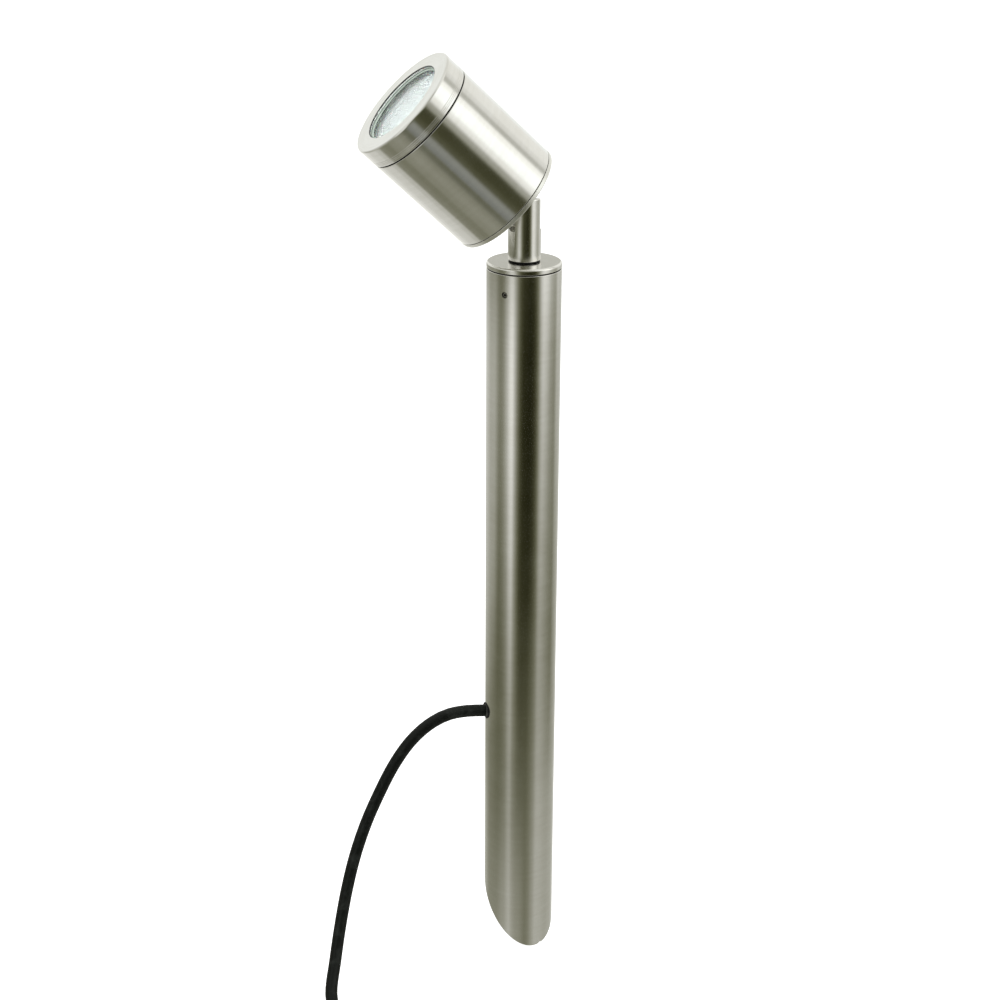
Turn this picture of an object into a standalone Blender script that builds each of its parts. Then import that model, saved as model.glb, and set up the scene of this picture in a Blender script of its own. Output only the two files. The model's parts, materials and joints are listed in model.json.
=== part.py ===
"""Underwater pond light on a ground spike: a lamp head on a swivel knuckle, on a slant-cut steel tube.

Metres, +Z up. The origin is the lowest point of the tube's slanted cut, on the tube's axis, at z = 0.
The head leans towards -X, and its tilt axis runs along Y through the tube's axis.
"""

import math

import bmesh
import bpy
from mathutils import Matrix, Vector

MM = 0.001

# Ground spike
TUBE_RADIUS = 19.0 * MM
TUBE_WALL = 1.5 * MM
TUBE_TOP = 387.1 * MM
CUT_SLOPE = math.radians(50.0)
CUT_LOW_SIDE = math.radians(-76.0)
CABLE_HOLE_HEIGHT = 142.0 * MM
CABLE_HOLE_RADIUS = 4.3 * MM

# Cap, held in the tube by three grub screws
CAP_UNDERSIDE = 387.7 * MM
CAP_TOP = 390.6 * MM
CAP_EDGE_RADIUS = 1.3 * MM
CAP_PLATE_BOTTOM = 383.6 * MM
CAP_SKIRT_BOTTOM = 371.6 * MM
CAP_SKIRT_RADIUS = 17.2 * MM
CAP_SKIRT_BORE = 13.0 * MM
GRUB_HEIGHT = 377.0 * MM
GRUB_RADIUS = 1.4 * MM
FIRST_GRUB = math.radians(-138.0)

# Swivel stem with its fork
STEM_RADIUS = 8.24 * MM
STEM_SHOULDER = 391.5 * MM
STEM_TOP = 422.9 * MM
STEM_FOOT = 373.8 * MM
STEM_SPIGOT_RADIUS = 6.0 * MM
STEM_BORE = 3.65 * MM
SLOT_BOTTOM = 406.4 * MM
SLOT_WIDTH = 10.0 * MM
STEM_CHAMFER = 0.6 * MM
NUT_ACROSS_FLATS = 19.0 * MM

# Knuckle
PIVOT_HEIGHT = 413.3 * MM
HEAD_TILT = math.radians(46.4)
LUG_WIDTH = 9.4 * MM
LUG_RADIUS = 6.0 * MM
LUG_GAP = 4.0 * MM
LUG_GAP_TOP = 7.0 * MM
PIVOT_SCREW_RADIUS = 2.0 * MM
PIVOT_HOLE_RADIUS = 2.3 * MM

# Head, measured along its own axis from the tilt pivot
HEAD_RADIUS = 30.9 * MM
HEAD_REAR = 13.3 * MM
REAR_CAP_RIM = 1.9 * MM
REAR_PLATE = 20.3 * MM
REAR_SPIGOT_RADIUS = 27.4 * MM
HOLDER_SEAT = 24.7 * MM
BODY_REAR = 15.8 * MM
BODY_FRONT = 74.2 * MM
BODY_BORE = 27.7 * MM
BODY_THREAD_BORE = 28.4 * MM
BODY_THREAD_BOTTOM = 64.0 * MM

# Bezel and what it carries
BEZEL_REAR = 74.8 * MM
HEAD_FRONT = 85.9 * MM
BEZEL_EDGE_RADIUS = 1.1 * MM
BEZEL_OPENING = 22.2 * MM
BEZEL_LIP = 1.6 * MM
BEZEL_BORE = 26.0 * MM
BEZEL_SPIGOT_RADIUS = 28.1 * MM
BEZEL_SPIGOT_END = 66.5 * MM
LENS_RADIUS = 25.7 * MM
LENS_THICKNESS = 4.0 * MM

# Lamp and its holder
LAMP_RIM = 75.0 * MM
LAMP_RADIUS = 24.8 * MM
LAMP_NECK = 50.0 * MM
LAMP_BASE_END = 37.4 * MM
PIN_SPACING = 5.33 * MM
PIN_RADIUS = 0.75 * MM
HOLDER_RADIUS = 11.0 * MM
HOLDER_TOP = 36.8 * MM
HOLDER_SCREW_OFFSET = 9.0 * MM

# Supply cable: one jacketed cable of two cores
CABLE_RADIUS = 3.3 * MM
CORE_RADIUS = 0.8 * MM
CORE_OFFSET = 1.1 * MM
CORE_BREAK = 0.9 * MM
CABLE_TOP = 405.9 * MM

# Hank of the spare cable: long turns in rows, each row laid in the hollows of the row below
TURN_PITCH = 6.7 * MM
HANK_CENTRE = (-49.6 * MM, -144.5 * MM)
HANK_STRAIGHT = 60.0 * MM
HANK_MEAN_RADIUS = 30.05 * MM
HANK_FLOOR_GAP = 1.4 * MM
HANK_ACROSS = 4.0 * TURN_PITCH + 0.3 * MM
HANK_HEIGHT = 3.0 * TURN_PITCH * math.sin(math.radians(60.0)) + 2.0 * CABLE_RADIUS
TIE_WIDTH = 5.0 * MM
TIE_THICKNESS = 1.0 * MM
TIE_GAP = 0.35 * MM
TIE_PLACES = ((1.0, math.radians(0.0)), (-1.0, math.radians(225.0)))

# Connector on the cable's end, lying on the hank
CONNECTOR_RADIUS = 9.0 * MM
CONNECTOR_START = (-29.6 * MM, -174.5 * MM, HANK_FLOOR_GAP + HANK_HEIGHT + 0.3 * MM + CONNECTOR_RADIUS)
CONNECTOR_HEADING = 0.0

GAP = 0.3 * MM
FINE_STEPS = 40
COARSE_STEPS = 20

# Routes of the free cable in millimetres: from the tube to the hank, and from the hank to the connector
LEAD_ROUTE = [
    (-20.1, 0.0, 142.0),
    (-30.0, 0.0, 143.1),
    (-40.0, 0.0, 142.6),
    (-49.0, -0.1, 139.4),
    (-57.4, -0.4, 133.8),
    (-65.0, -0.9, 126.2),
    (-73.0, -2.2, 115.4),
    (-81.2, -4.4, 101.6),
    (-89.0, -7.8, 87.6),
    (-96.4, -12.6, 71.8),
    (-102.9, -19.2, 55.4),
    (-108.8, -28.0, 39.6),
    (-114.4, -39.2, 25.8),
    (-119.8, -52.8, 14.8),
    (-120.2, -68.5, 7.8),
    (-119.9, -86.0, 4.9),
    (-119.7, -103.0, 4.7),
    (-119.7, -120.0, 4.7),
]
TAIL_ROUTE = [
    (-52.0, -177.4, 29.4),
    (-46.0, -176.2, 31.5),
    (-40.0, -175.3, 33.3),
    (-34.0, -174.7, 34.5),
    (-29.9, -174.5, 34.7),
]


def material(name, colour, roughness, metallic=0.0, transmission=0.0):
    made = bpy.data.materials.new(name)
    made.use_nodes = True
    shader = made.node_tree.nodes["Principled BSDF"]
    shader.inputs["Base Color"].default_value = (*colour, 1.0)
    shader.inputs["Roughness"].default_value = roughness
    shader.inputs["Metallic"].default_value = metallic
    shader.inputs["Transmission Weight"].default_value = transmission
    return made


def add_object(name, data, look, parent=None, at=(0.0, 0.0, 0.0), turn=(0.0, 0.0, 0.0)):
    made = bpy.data.objects.new(name, data)
    made.location = at
    made.rotation_euler = turn
    made.parent = parent
    if look is None:
        made.hide_render = True
        made.display_type = "WIRE"
        cutters.objects.link(made)
    else:
        data.materials.append(look)
        parts.objects.link(made)
    return made


def arc(centre, radius, start, end, steps=2):
    """Points of an arc in the profile plane, as (radius, height), with angles in degrees."""
    angles = [math.radians(start + (end - start) * i / steps) for i in range(steps + 1)]
    return [(centre[0] + radius * math.cos(a), centre[1] + radius * math.sin(a)) for a in angles]


def turned(name, profile, look, steps=FINE_STEPS, closed=True, parent=None, **place):
    """A turned solid. A closed profile makes a ring, and an open one starts and ends on the axis."""
    mesh = bpy.data.meshes.new(name)
    points = [(radius, 0.0, height) for radius, height in profile]
    edges = [(i, i + 1) for i in range(len(points) - 1)]
    if closed:
        edges.append((len(points) - 1, 0))
    mesh.from_pydata(points, edges, [])
    made = add_object(name, mesh, look, parent, **place)
    screw = made.modifiers.new("Turn", "SCREW")
    screw.steps = steps
    screw.render_steps = steps
    screw.use_merge_vertices = True
    screw.merge_threshold = 0.00001
    screw.use_smooth_shade = True
    return made


def ring(name, inner, outer, bottom, top, look, **options):
    profile = [(outer, top), (outer, bottom), (inner, bottom), (inner, top)]
    return turned(name, profile, look, **options)


def rod(name, radius, bottom, top, look, **options):
    profile = [(0.0, top), (radius, top), (radius, bottom), (0.0, bottom)]
    return turned(name, profile, look, closed=False, **options)


def o_ring(name, radius, height, section, look, **options):
    profile = arc((radius, height), section, 90.0, -210.0, steps=5)
    return turned(name, profile, look, **options)


def block(name, size, look=None, **place):
    mesh = bpy.data.meshes.new(name)
    shape = bmesh.new()
    bmesh.ops.create_cube(shape, size=1.0, matrix=Matrix.Diagonal((*size, 1.0)))
    shape.to_mesh(mesh)
    shape.free()
    return add_object(name, mesh, look, **place)


def outline_solid(name, loops, thickness, look, **place):
    """A flat outline with its holes, as an extruded 2D curve turned into a welded mesh."""
    curve = bpy.data.curves.new(name, "CURVE")
    curve.dimensions = "2D"
    curve.fill_mode = "BOTH"
    curve.extrude = thickness / 2.0
    for loop in loops:
        spline = curve.splines.new("POLY")
        spline.points.add(len(loop) - 1)
        for point, (x, y) in zip(spline.points, loop):
            point.co = (x, y, 0.0, 1.0)
        spline.use_cyclic_u = True
    guide = bpy.data.objects.new(name + "_outline", curve)
    cutters.objects.link(guide)
    return welded_copy(name, guide, look, **place)


def welded_copy(name, guide, look, **place):
    """A closed mesh made from a curve object, which is then removed."""
    graph = bpy.context.evaluated_depsgraph_get()
    mesh = bpy.data.meshes.new_from_object(guide.evaluated_get(graph))
    shape = bmesh.new()
    shape.from_mesh(mesh)
    bmesh.ops.remove_doubles(shape, verts=shape.verts, dist=0.000001)
    bmesh.ops.recalc_face_normals(shape, faces=shape.faces)
    shape.to_mesh(mesh)
    shape.free()
    bpy.data.objects.remove(guide)
    mesh.name = name
    mesh.materials.clear()
    return add_object(name, mesh, look, **place)


def boolean(target, tool, operation="DIFFERENCE"):
    change = target.modifiers.new(tool.name, "BOOLEAN")
    change.operation = operation
    change.solver = "EXACT"
    change.object = tool


def smooth_route(points, spacing):
    """Points about a spacing apart on a Catmull-Rom curve through the route's own points."""
    nodes = [Vector(point) for point in points]
    nodes = [2.0 * nodes[0] - nodes[1]] + nodes + [2.0 * nodes[-1] - nodes[-2]]
    route = [nodes[1]]
    for a, b, c, d in zip(nodes, nodes[1:], nodes[2:], nodes[3:]):
        steps = max(1, round((c - b).length / spacing))
        for i in range(1, steps + 1):
            t = i / steps
            bend = (2.0 * a - 5.0 * b + 4.0 * c - d) * t * t
            twist = (3.0 * b - a - 3.0 * c + d) * t * t * t
            route.append(0.5 * (2.0 * b + (c - a) * t + bend + twist))
    return route


def cable(name, route, radius, look, resolution=2, parent=None):
    """A round tube along a route."""
    curve = bpy.data.curves.new(name, "CURVE")
    curve.dimensions = "3D"
    curve.bevel_depth = radius
    curve.bevel_resolution = resolution
    curve.use_fill_caps = True
    spline = curve.splines.new("POLY")
    spline.points.add(len(route) - 1)
    for point, place in zip(spline.points, route):
        point.co = (*place, 1.0)
    return add_object(name, curve, look, parent)


def around(radius, angle, height=0.0):
    return (radius * math.cos(angle), radius * math.sin(angle), height)


def millimetres(points):
    return [tuple(value * MM for value in point) for point in points]


def make_spike_tube():
    """The tube, cut to a slanted point, with the cable's hole and three holes for the grub screws."""
    inner = TUBE_RADIUS - TUBE_WALL
    tube = ring("spike_tube", inner, TUBE_RADIUS, -20.0 * MM, TUBE_TOP, brushed_steel)
    reach = 200.0 * MM
    low_side = Vector(around(TUBE_RADIUS, CUT_LOW_SIDE))
    cut = block("slant_cut", (reach, reach, reach))
    lean = Matrix.Rotation(CUT_SLOPE, 4, Vector((-math.sin(CUT_LOW_SIDE), math.cos(CUT_LOW_SIDE), 0.0)))
    cut.matrix_world = Matrix.Translation(low_side) @ lean @ Matrix.Translation((0.0, 0.0, -reach / 2.0))
    boolean(tube, cut)
    drill = rod("cable_drill", CABLE_HOLE_RADIUS, 0.0, 30.0 * MM, None, steps=COARSE_STEPS,
                at=(0.0, 0.0, CABLE_HOLE_HEIGHT), turn=(0.0, -math.pi / 2.0, 0.0))
    boolean(tube, drill)
    for number, angle in enumerate(grub_angles(), 1):
        drill = rod(f"grub_drill_{number}", GRUB_RADIUS + 0.2 * MM, 14.0 * MM, 22.0 * MM, None, steps=16,
                    at=(0.0, 0.0, GRUB_HEIGHT), turn=(0.0, math.pi / 2.0, angle))
        boolean(tube, drill)


def grub_angles():
    return [FIRST_GRUB + math.tau * i / 3 for i in range(3)]


def hex_socket_screw(name, radius, socket, inner_end, outer_end, **place):
    """A grub screw along its own axis, with a hexagon socket in its outer end."""
    depth = 1.6 * MM
    screw = rod(name, radius, inner_end, outer_end, screw_steel, steps=16, **place)
    key = rod(name + "_key", socket, outer_end - depth, outer_end + depth, None, steps=6, **place)
    boolean(screw, key)
    return screw


def make_pole_cap():
    """The cap's flange, its skirt inside the tube, its sealing ring and its grub screws."""
    bore = STEM_SPIGOT_RADIUS + GAP
    edge = (TUBE_RADIUS - CAP_EDGE_RADIUS, CAP_TOP - CAP_EDGE_RADIUS)
    profile = [(bore, CAP_TOP)]
    profile += arc(edge, CAP_EDGE_RADIUS, 90.0, 0.0)
    profile += [
        (TUBE_RADIUS, CAP_UNDERSIDE),
        (CAP_SKIRT_RADIUS, CAP_UNDERSIDE),
        (CAP_SKIRT_RADIUS, CAP_SKIRT_BOTTOM),
        (CAP_SKIRT_BORE, CAP_SKIRT_BOTTOM),
        (CAP_SKIRT_BORE, CAP_PLATE_BOTTOM),
        (bore, CAP_PLATE_BOTTOM),
    ]
    cap = turned("pole_cap", profile, brushed_steel)
    middle = (TUBE_TOP + CAP_UNDERSIDE) / 2.0
    ring("cap_o_ring", CAP_SKIRT_RADIUS + 0.1 * MM, TUBE_RADIUS - 0.6 * MM, middle - 0.2 * MM,
         middle + 0.2 * MM, rubber)
    for number, angle in enumerate(grub_angles(), 1):
        place = {"at": (0.0, 0.0, GRUB_HEIGHT), "turn": (0.0, math.pi / 2.0, angle)}
        tap = rod(f"grub_tap_{number}", GRUB_RADIUS + 0.2 * MM, 11.0 * MM, 20.0 * MM, None, steps=16, **place)
        boolean(cap, tap)
        hex_socket_screw(f"cap_grub_screw_{number}", GRUB_RADIUS, 0.8 * MM, 13.4 * MM, 18.6 * MM, **place)


def make_grommet():
    """The rubber grommet in the tube's cable hole, along its own axis from the tube's centre."""
    inner = CABLE_RADIUS + GAP
    neck = CABLE_HOLE_RADIUS - 0.2 * MM
    profile = [
        (inner, 19.75 * MM),
        (4.5 * MM, 19.75 * MM),
        (4.5 * MM, 19.3 * MM),
        (neck, 19.3 * MM),
        (neck, 16.2 * MM),
        (5.6 * MM, 16.2 * MM),
        (5.6 * MM, 15.0 * MM),
        (inner, 15.0 * MM),
    ]
    turned("cable_grommet", profile, rubber, steps=COARSE_STEPS,
           at=(0.0, 0.0, CABLE_HOLE_HEIGHT), turn=(0.0, -math.pi / 2.0, 0.0))


def make_swivel_stem(axis):
    """The stem with its fork, the ring it seals on, and the washer and nut that hold it in the cap."""
    low = axis.location.z
    profile = [
        (STEM_BORE, STEM_TOP),
        (STEM_RADIUS - STEM_CHAMFER, STEM_TOP),
        (STEM_RADIUS, STEM_TOP - STEM_CHAMFER),
        (STEM_RADIUS, STEM_SHOULDER),
        (STEM_SPIGOT_RADIUS, STEM_SHOULDER),
        (STEM_SPIGOT_RADIUS, STEM_FOOT),
        (STEM_BORE, STEM_FOOT),
    ]
    profile = [(radius, height - low) for radius, height in profile]
    stem = turned("swivel_stem", profile, brushed_steel, steps=28, parent=axis)
    slot = block("fork_slot", (40.0 * MM, SLOT_WIDTH, 40.0 * MM), parent=axis,
                 at=(0.0, 0.0, SLOT_BOTTOM - low + 20.0 * MM))
    boolean(stem, slot)
    drill = rod("pivot_drill", PIVOT_HOLE_RADIUS, -20.0 * MM, 20.0 * MM, None, steps=16, parent=axis,
                at=(0.0, 0.0, PIVOT_HEIGHT - low), turn=(math.pi / 2.0, 0.0, 0.0))
    boolean(stem, drill)
    ring("stem_o_ring", STEM_SPIGOT_RADIUS + 0.2 * MM, STEM_RADIUS - 0.35 * MM, 0.1 * MM, 0.8 * MM, rubber,
         steps=32, parent=axis)
    washer_top = CAP_PLATE_BOTTOM - GAP - low
    washer_bottom = washer_top - 1.2 * MM
    ring("stem_washer", STEM_SPIGOT_RADIUS + 0.2 * MM, 10.5 * MM, washer_bottom, washer_top, screw_steel,
         steps=COARSE_STEPS, parent=axis)
    nut_top = washer_bottom - 0.2 * MM
    corner = NUT_ACROSS_FLATS / math.sqrt(3.0)
    nut = rod("stem_lock_nut", corner, nut_top - 6.0 * MM, nut_top, screw_steel, steps=6, parent=axis)
    tap = rod("nut_tap", STEM_SPIGOT_RADIUS + 0.2 * MM, nut_top - 9.0 * MM, nut_top + 3.0 * MM, None,
              steps=COARSE_STEPS, parent=axis)
    boolean(nut, tap)
    for side, turn in (("front", math.pi / 2.0), ("rear", -math.pi / 2.0)):
        hex_socket_screw(f"pivot_screw_{side}", PIVOT_SCREW_RADIUS, 1.0 * MM, 2.5 * MM, 7.9 * MM,
                         parent=axis, at=(0.0, 0.0, PIVOT_HEIGHT - low), turn=(turn, 0.0, 0.0))
    for core, side in (("live", -1.0), ("neutral", 1.0)):
        foot = Vector((0.0, side * CORE_OFFSET, CABLE_TOP + GAP - low))
        tip = Vector((0.0, side * CORE_OFFSET, PIVOT_HEIGHT - CORE_BREAK - low))
        cable(f"stem_lead_{core}", [foot, tip], CORE_RADIUS, core_looks[core], parent=axis)


def make_rear_cap(pivot):
    """The rear cap with the lug that hangs in the fork. Two cheeks leave a way for the cores between them."""
    rim_front = HEAD_REAR + REAR_CAP_RIM
    recess_floor = 17.0 * MM
    profile = [
        (7.0 * MM, HOLDER_SEAT),
        (11.0 * MM, HOLDER_SEAT),
        (11.0 * MM, REAR_PLATE),
        (REAR_SPIGOT_RADIUS, REAR_PLATE),
        (REAR_SPIGOT_RADIUS, rim_front),
        (HEAD_RADIUS, rim_front),
        (HEAD_RADIUS, HEAD_REAR + 0.3 * MM),
        (HEAD_RADIUS - 0.3 * MM, HEAD_REAR),
        (2.2 * MM, HEAD_REAR),
        (2.2 * MM, recess_floor),
        (7.0 * MM, recess_floor),
    ]
    cap = turned("rear_cap", profile, brushed_steel, parent=pivot)
    outline = [(LUG_RADIUS, HEAD_REAR + 1.5 * MM), (-LUG_RADIUS, HEAD_REAR + 1.5 * MM)]
    outline += arc((0.0, 0.0), LUG_RADIUS, 180.0, 360.0, steps=10)
    flat = (math.pi / 2.0, 0.0, 0.0)
    lug = outline_solid("lug", [outline], LUG_WIDTH, None, parent=pivot, turn=flat)
    boolean(cap, lug, "UNION")
    way = block("lug_way", (40.0 * MM, LUG_GAP, 40.0 * MM), parent=pivot,
                at=(0.0, 0.0, LUG_GAP_TOP - 20.0 * MM))
    boolean(cap, way)
    channel = rod("lug_channel", 2.2 * MM, LUG_GAP_TOP - 1.0 * MM, recess_floor + 1.0 * MM, None, steps=16,
                  parent=pivot)
    boolean(cap, channel)
    drill = rod("lug_drill", PIVOT_HOLE_RADIUS, -20.0 * MM, 20.0 * MM, None, steps=16, parent=pivot,
                turn=flat)
    boolean(cap, drill)
    for number, side in enumerate((-1.0, 1.0), 1):
        tap = rod(f"seat_tap_{number}", 1.4 * MM, REAR_PLATE - 1.5 * MM, HOLDER_SEAT + 3.0 * MM, None, steps=12,
                  parent=pivot, at=(side * HOLDER_SCREW_OFFSET, 0.0, 0.0))
        boolean(cap, tap)
    o_ring("rear_cap_o_ring", 28.35 * MM, 16.0 * MM, 0.6 * MM, rubber, parent=pivot)
    seal = rod("resin_seal", 6.7 * MM, recess_floor + GAP, 21.5 * MM, resin, steps=COARSE_STEPS, parent=pivot)
    for number, side in enumerate((-1.0, 1.0), 1):
        hole = rod(f"core_hole_{number}", CORE_RADIUS + 0.2 * MM, recess_floor - 2.0 * MM, 24.0 * MM, None,
                   steps=12, parent=pivot, at=(0.0, side * CORE_OFFSET, 0.0))
        boolean(seal, hole)


def make_head_body(pivot):
    """The turned housing, chamfered inside each end where a sealing ring sits."""
    profile = [
        (BODY_THREAD_BORE, BODY_FRONT - 1.7 * MM),
        (BODY_THREAD_BORE + 1.7 * MM, BODY_FRONT),
        (HEAD_RADIUS, BODY_FRONT),
        (HEAD_RADIUS, BODY_REAR),
        (BODY_BORE + 2.0 * MM, BODY_REAR),
        (BODY_BORE, BODY_REAR + 2.0 * MM),
        (BODY_BORE, BODY_THREAD_BOTTOM),
        (BODY_THREAD_BORE, BODY_THREAD_BOTTOM),
    ]
    turned("head_body", profile, brushed_steel, parent=pivot)


def make_bezel(pivot):
    """The screwed bezel, and the glass that it carries between a gasket and a retaining ring."""
    edge = (HEAD_RADIUS - BEZEL_EDGE_RADIUS, HEAD_FRONT - BEZEL_EDGE_RADIUS)
    lip_back = HEAD_FRONT - BEZEL_LIP
    profile = [(BEZEL_OPENING, HEAD_FRONT)]
    profile += arc(edge, BEZEL_EDGE_RADIUS, 90.0, 0.0)
    profile += [
        (HEAD_RADIUS, BEZEL_REAR),
        (BEZEL_SPIGOT_RADIUS, BEZEL_REAR),
        (BEZEL_SPIGOT_RADIUS, BEZEL_SPIGOT_END),
        (BEZEL_BORE, BEZEL_SPIGOT_END),
        (BEZEL_BORE, lip_back),
        (BEZEL_OPENING, lip_back),
    ]
    turned("bezel", profile, brushed_steel, parent=pivot)
    o_ring("bezel_o_ring", 28.95 * MM, 74.05 * MM, 0.5 * MM, rubber, parent=pivot)
    gasket_top = lip_back - 0.2 * MM
    ring("lens_gasket", 21.1 * MM, LENS_RADIUS, gasket_top - 0.6 * MM, gasket_top, rubber, parent=pivot)
    glass_top = gasket_top - 0.8 * MM
    glass_bottom = glass_top - LENS_THICKNESS
    rod("lens_glass", LENS_RADIUS, glass_bottom, glass_top, clear_glass, parent=pivot)
    ring("lens_retaining_ring", 23.0 * MM, LENS_RADIUS, glass_bottom - 2.0 * MM, glass_bottom - 0.2 * MM,
         screw_steel, parent=pivot)


def make_lamp(pivot):
    """The reflector lamp: dichroic bowl, cover glass, quartz capsule, ceramic base and two pins."""
    depth = LAMP_RIM - LAMP_NECK
    bowl_steps = 4
    neck = 7.5 * MM
    bowl = []
    for i in range(bowl_steps + 1):
        t = i / bowl_steps
        radius = neck + (LAMP_RADIUS - 2.0 * MM - neck) * math.sqrt(1.0 - t)
        bowl.append((radius, LAMP_RIM - 1.5 * MM - (depth - 1.5 * MM) * t))
    wall = 1.3 * MM
    profile = [(LAMP_RADIUS - 1.2 * MM, LAMP_RIM), (LAMP_RADIUS, LAMP_RIM), (LAMP_RADIUS, LAMP_RIM - 1.6 * MM)]
    profile += [(radius + wall, height - 0.6 * MM) for radius, height in bowl]
    profile += list(reversed(bowl))
    profile.append((LAMP_RADIUS - 1.2 * MM, LAMP_RIM - 1.5 * MM))
    turned("lamp_reflector", profile, reflector_glass, steps=COARSE_STEPS, parent=pivot)
    rod("lamp_cover_glass", LAMP_RADIUS - 1.5 * MM, LAMP_RIM - 1.2 * MM, LAMP_RIM - 0.2 * MM, clear_glass,
        steps=COARSE_STEPS, parent=pivot)
    base_top = LAMP_NECK - 0.9 * MM
    base = [(0.0, base_top), (8.6 * MM, base_top), (8.6 * MM, 44.0 * MM), (6.4 * MM, 42.0 * MM),
            (6.4 * MM, LAMP_BASE_END), (0.0, LAMP_BASE_END)]
    body = turned("lamp_base", base, ceramic, steps=COARSE_STEPS, closed=False, parent=pivot)
    for number, side in enumerate((-1.0, 1.0), 1):
        place = {"parent": pivot, "at": (0.0, side * PIN_SPACING / 2.0, 0.0)}
        hole = rod(f"pin_hole_{number}", PIN_RADIUS + 0.2 * MM, 30.0 * MM, 42.3 * MM, None, steps=12, **place)
        boolean(body, hole)
        rod(f"lamp_pin_{number}", PIN_RADIUS, 30.0 * MM, 42.0 * MM, screw_steel, steps=12, **place)
    capsule = [(0.0, 64.0 * MM)]
    capsule += arc((1.0 * MM, 60.0 * MM), 3.5 * MM, 70.0, 0.0)
    capsule += [(4.5 * MM, 52.0 * MM), (3.0 * MM, LAMP_NECK - 0.6 * MM), (0.0, LAMP_NECK - 0.6 * MM)]
    turned("lamp_capsule", capsule, clear_glass, steps=16, closed=False, parent=pivot)
    ring("lamp_cushion_ring", 21.6 * MM, LAMP_RADIUS, LAMP_RIM + 0.3 * MM, LAMP_RIM + 1.2 * MM, silicone,
         steps=COARSE_STEPS, parent=pivot)


def make_lamp_holder(pivot):
    """The ceramic holder on the rear cap's seat, its two screws, and the cores that run up to it."""
    bottom = HOLDER_SEAT + GAP
    holder = rod("lamp_holder", HOLDER_RADIUS, bottom, HOLDER_TOP, ceramic, steps=COARSE_STEPS, parent=pivot)
    for number, side in enumerate((-1.0, 1.0), 1):
        place = {"parent": pivot, "at": (0.0, side * PIN_SPACING / 2.0, 0.0)}
        way = rod(f"contact_way_{number}", 1.1 * MM, bottom - 3.0 * MM, HOLDER_TOP + 3.0 * MM, None, steps=12,
                  **place)
        boolean(holder, way)
        place["at"] = (side * HOLDER_SCREW_OFFSET, 0.0, 0.0)
        head = HOLDER_TOP - 1.8 * MM
        shape = [(0.0, HOLDER_TOP + 3.0 * MM), (2.6 * MM, HOLDER_TOP + 3.0 * MM), (2.6 * MM, head - GAP),
                 (1.5 * MM, head - GAP), (1.5 * MM, bottom - 3.0 * MM), (0.0, bottom - 3.0 * MM)]
        bore = turned(f"holder_bore_{number}", shape, None, steps=16, closed=False, **place)
        boolean(holder, bore)
        shape = [(0.0, HOLDER_TOP - 0.4 * MM), (2.3 * MM, HOLDER_TOP - 0.4 * MM), (2.3 * MM, head),
                 (1.2 * MM, head), (1.2 * MM, REAR_PLATE - 1.0 * MM), (0.0, REAR_PLATE - 1.0 * MM)]
        turned(f"holder_screw_{number}", shape, screw_steel, steps=16, closed=False, **place)
    for core, side in (("live", -1.0), ("neutral", 1.0)):
        near = side * CORE_OFFSET
        far = side * PIN_SPACING / 2.0
        route = [(0.0, near, CORE_BREAK), (0.0, near, 22.0 * MM), (0.0, (near + far) / 2.0, 23.2 * MM),
                 (0.0, far, 24.6 * MM), (0.0, far, 28.5 * MM)]
        cable(f"head_lead_{core}", route, CORE_RADIUS, core_looks[core], parent=pivot)


def make_inner_cable():
    """The jacketed cable inside the tube, from the grommet up into the stem."""
    route = millimetres([
        (-19.7, 0.0, 142.0), (-15.5, 0.0, 142.0), (-9.0, 0.0, 143.2), (-2.5, 0.0, 147.2), (2.6, 0.0, 154.0),
        (5.6, 0.0, 163.0), (6.6, 0.0, 174.0), (6.2, 0.0, 190.0), (4.2, 0.0, 220.0), (1.6, 0.0, 260.0),
        (0.2, 0.0, 310.0), (0.0, 0.0, 350.0), (0.0, 0.0, CABLE_TOP / MM),
    ])
    cable("inner_cable", route, CABLE_RADIUS, cable_jacket, resolution=3)


def around_section(gap):
    """A loop that keeps a gap all round the section of the hank's bundle, about the section's middle."""
    points = []
    for side, level, start in ((1, 1, 90.0), (1, -1, 0.0), (-1, -1, -90.0), (-1, 1, -180.0)):
        corner = (side * HANK_ACROSS / 2.0, level * HANK_HEIGHT / 2.0)
        points += arc(corner, gap, start, start - 90.0)
    return points


def hank_outline(radius):
    """A straight-sided loop with round ends, about the hank's middle."""
    half = HANK_STRAIGHT / 2.0
    return arc((half, 0.0), radius, -90.0, 90.0, steps=15) + arc((-half, 0.0), radius, 90.0, 270.0, steps=15)


def make_hank():
    """The spare cable's hank as one solid loop, with the two ties that hold it."""
    middle = HANK_FLOOR_GAP + HANK_HEIGHT / 2.0
    loops = [hank_outline(HANK_MEAN_RADIUS + side * HANK_ACROSS / 2.0) for side in (1.0, -1.0)]
    outline_solid("cord_hank", loops, HANK_HEIGHT, cable_jacket, at=(*HANK_CENTRE, middle))
    loops = [around_section(TIE_GAP + TIE_THICKNESS), around_section(TIE_GAP)]
    for number, (end, angle) in enumerate(TIE_PLACES, 1):
        out = Vector(around(HANK_MEAN_RADIUS, angle))
        place = (HANK_CENTRE[0] + end * HANK_STRAIGHT / 2.0 + out.x, HANK_CENTRE[1] + out.y, middle)
        outline_solid(f"hank_tie_{number}", loops, TIE_WIDTH, tie_nylon, at=place,
                      turn=(math.pi / 2.0, 0.0, angle))


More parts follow.
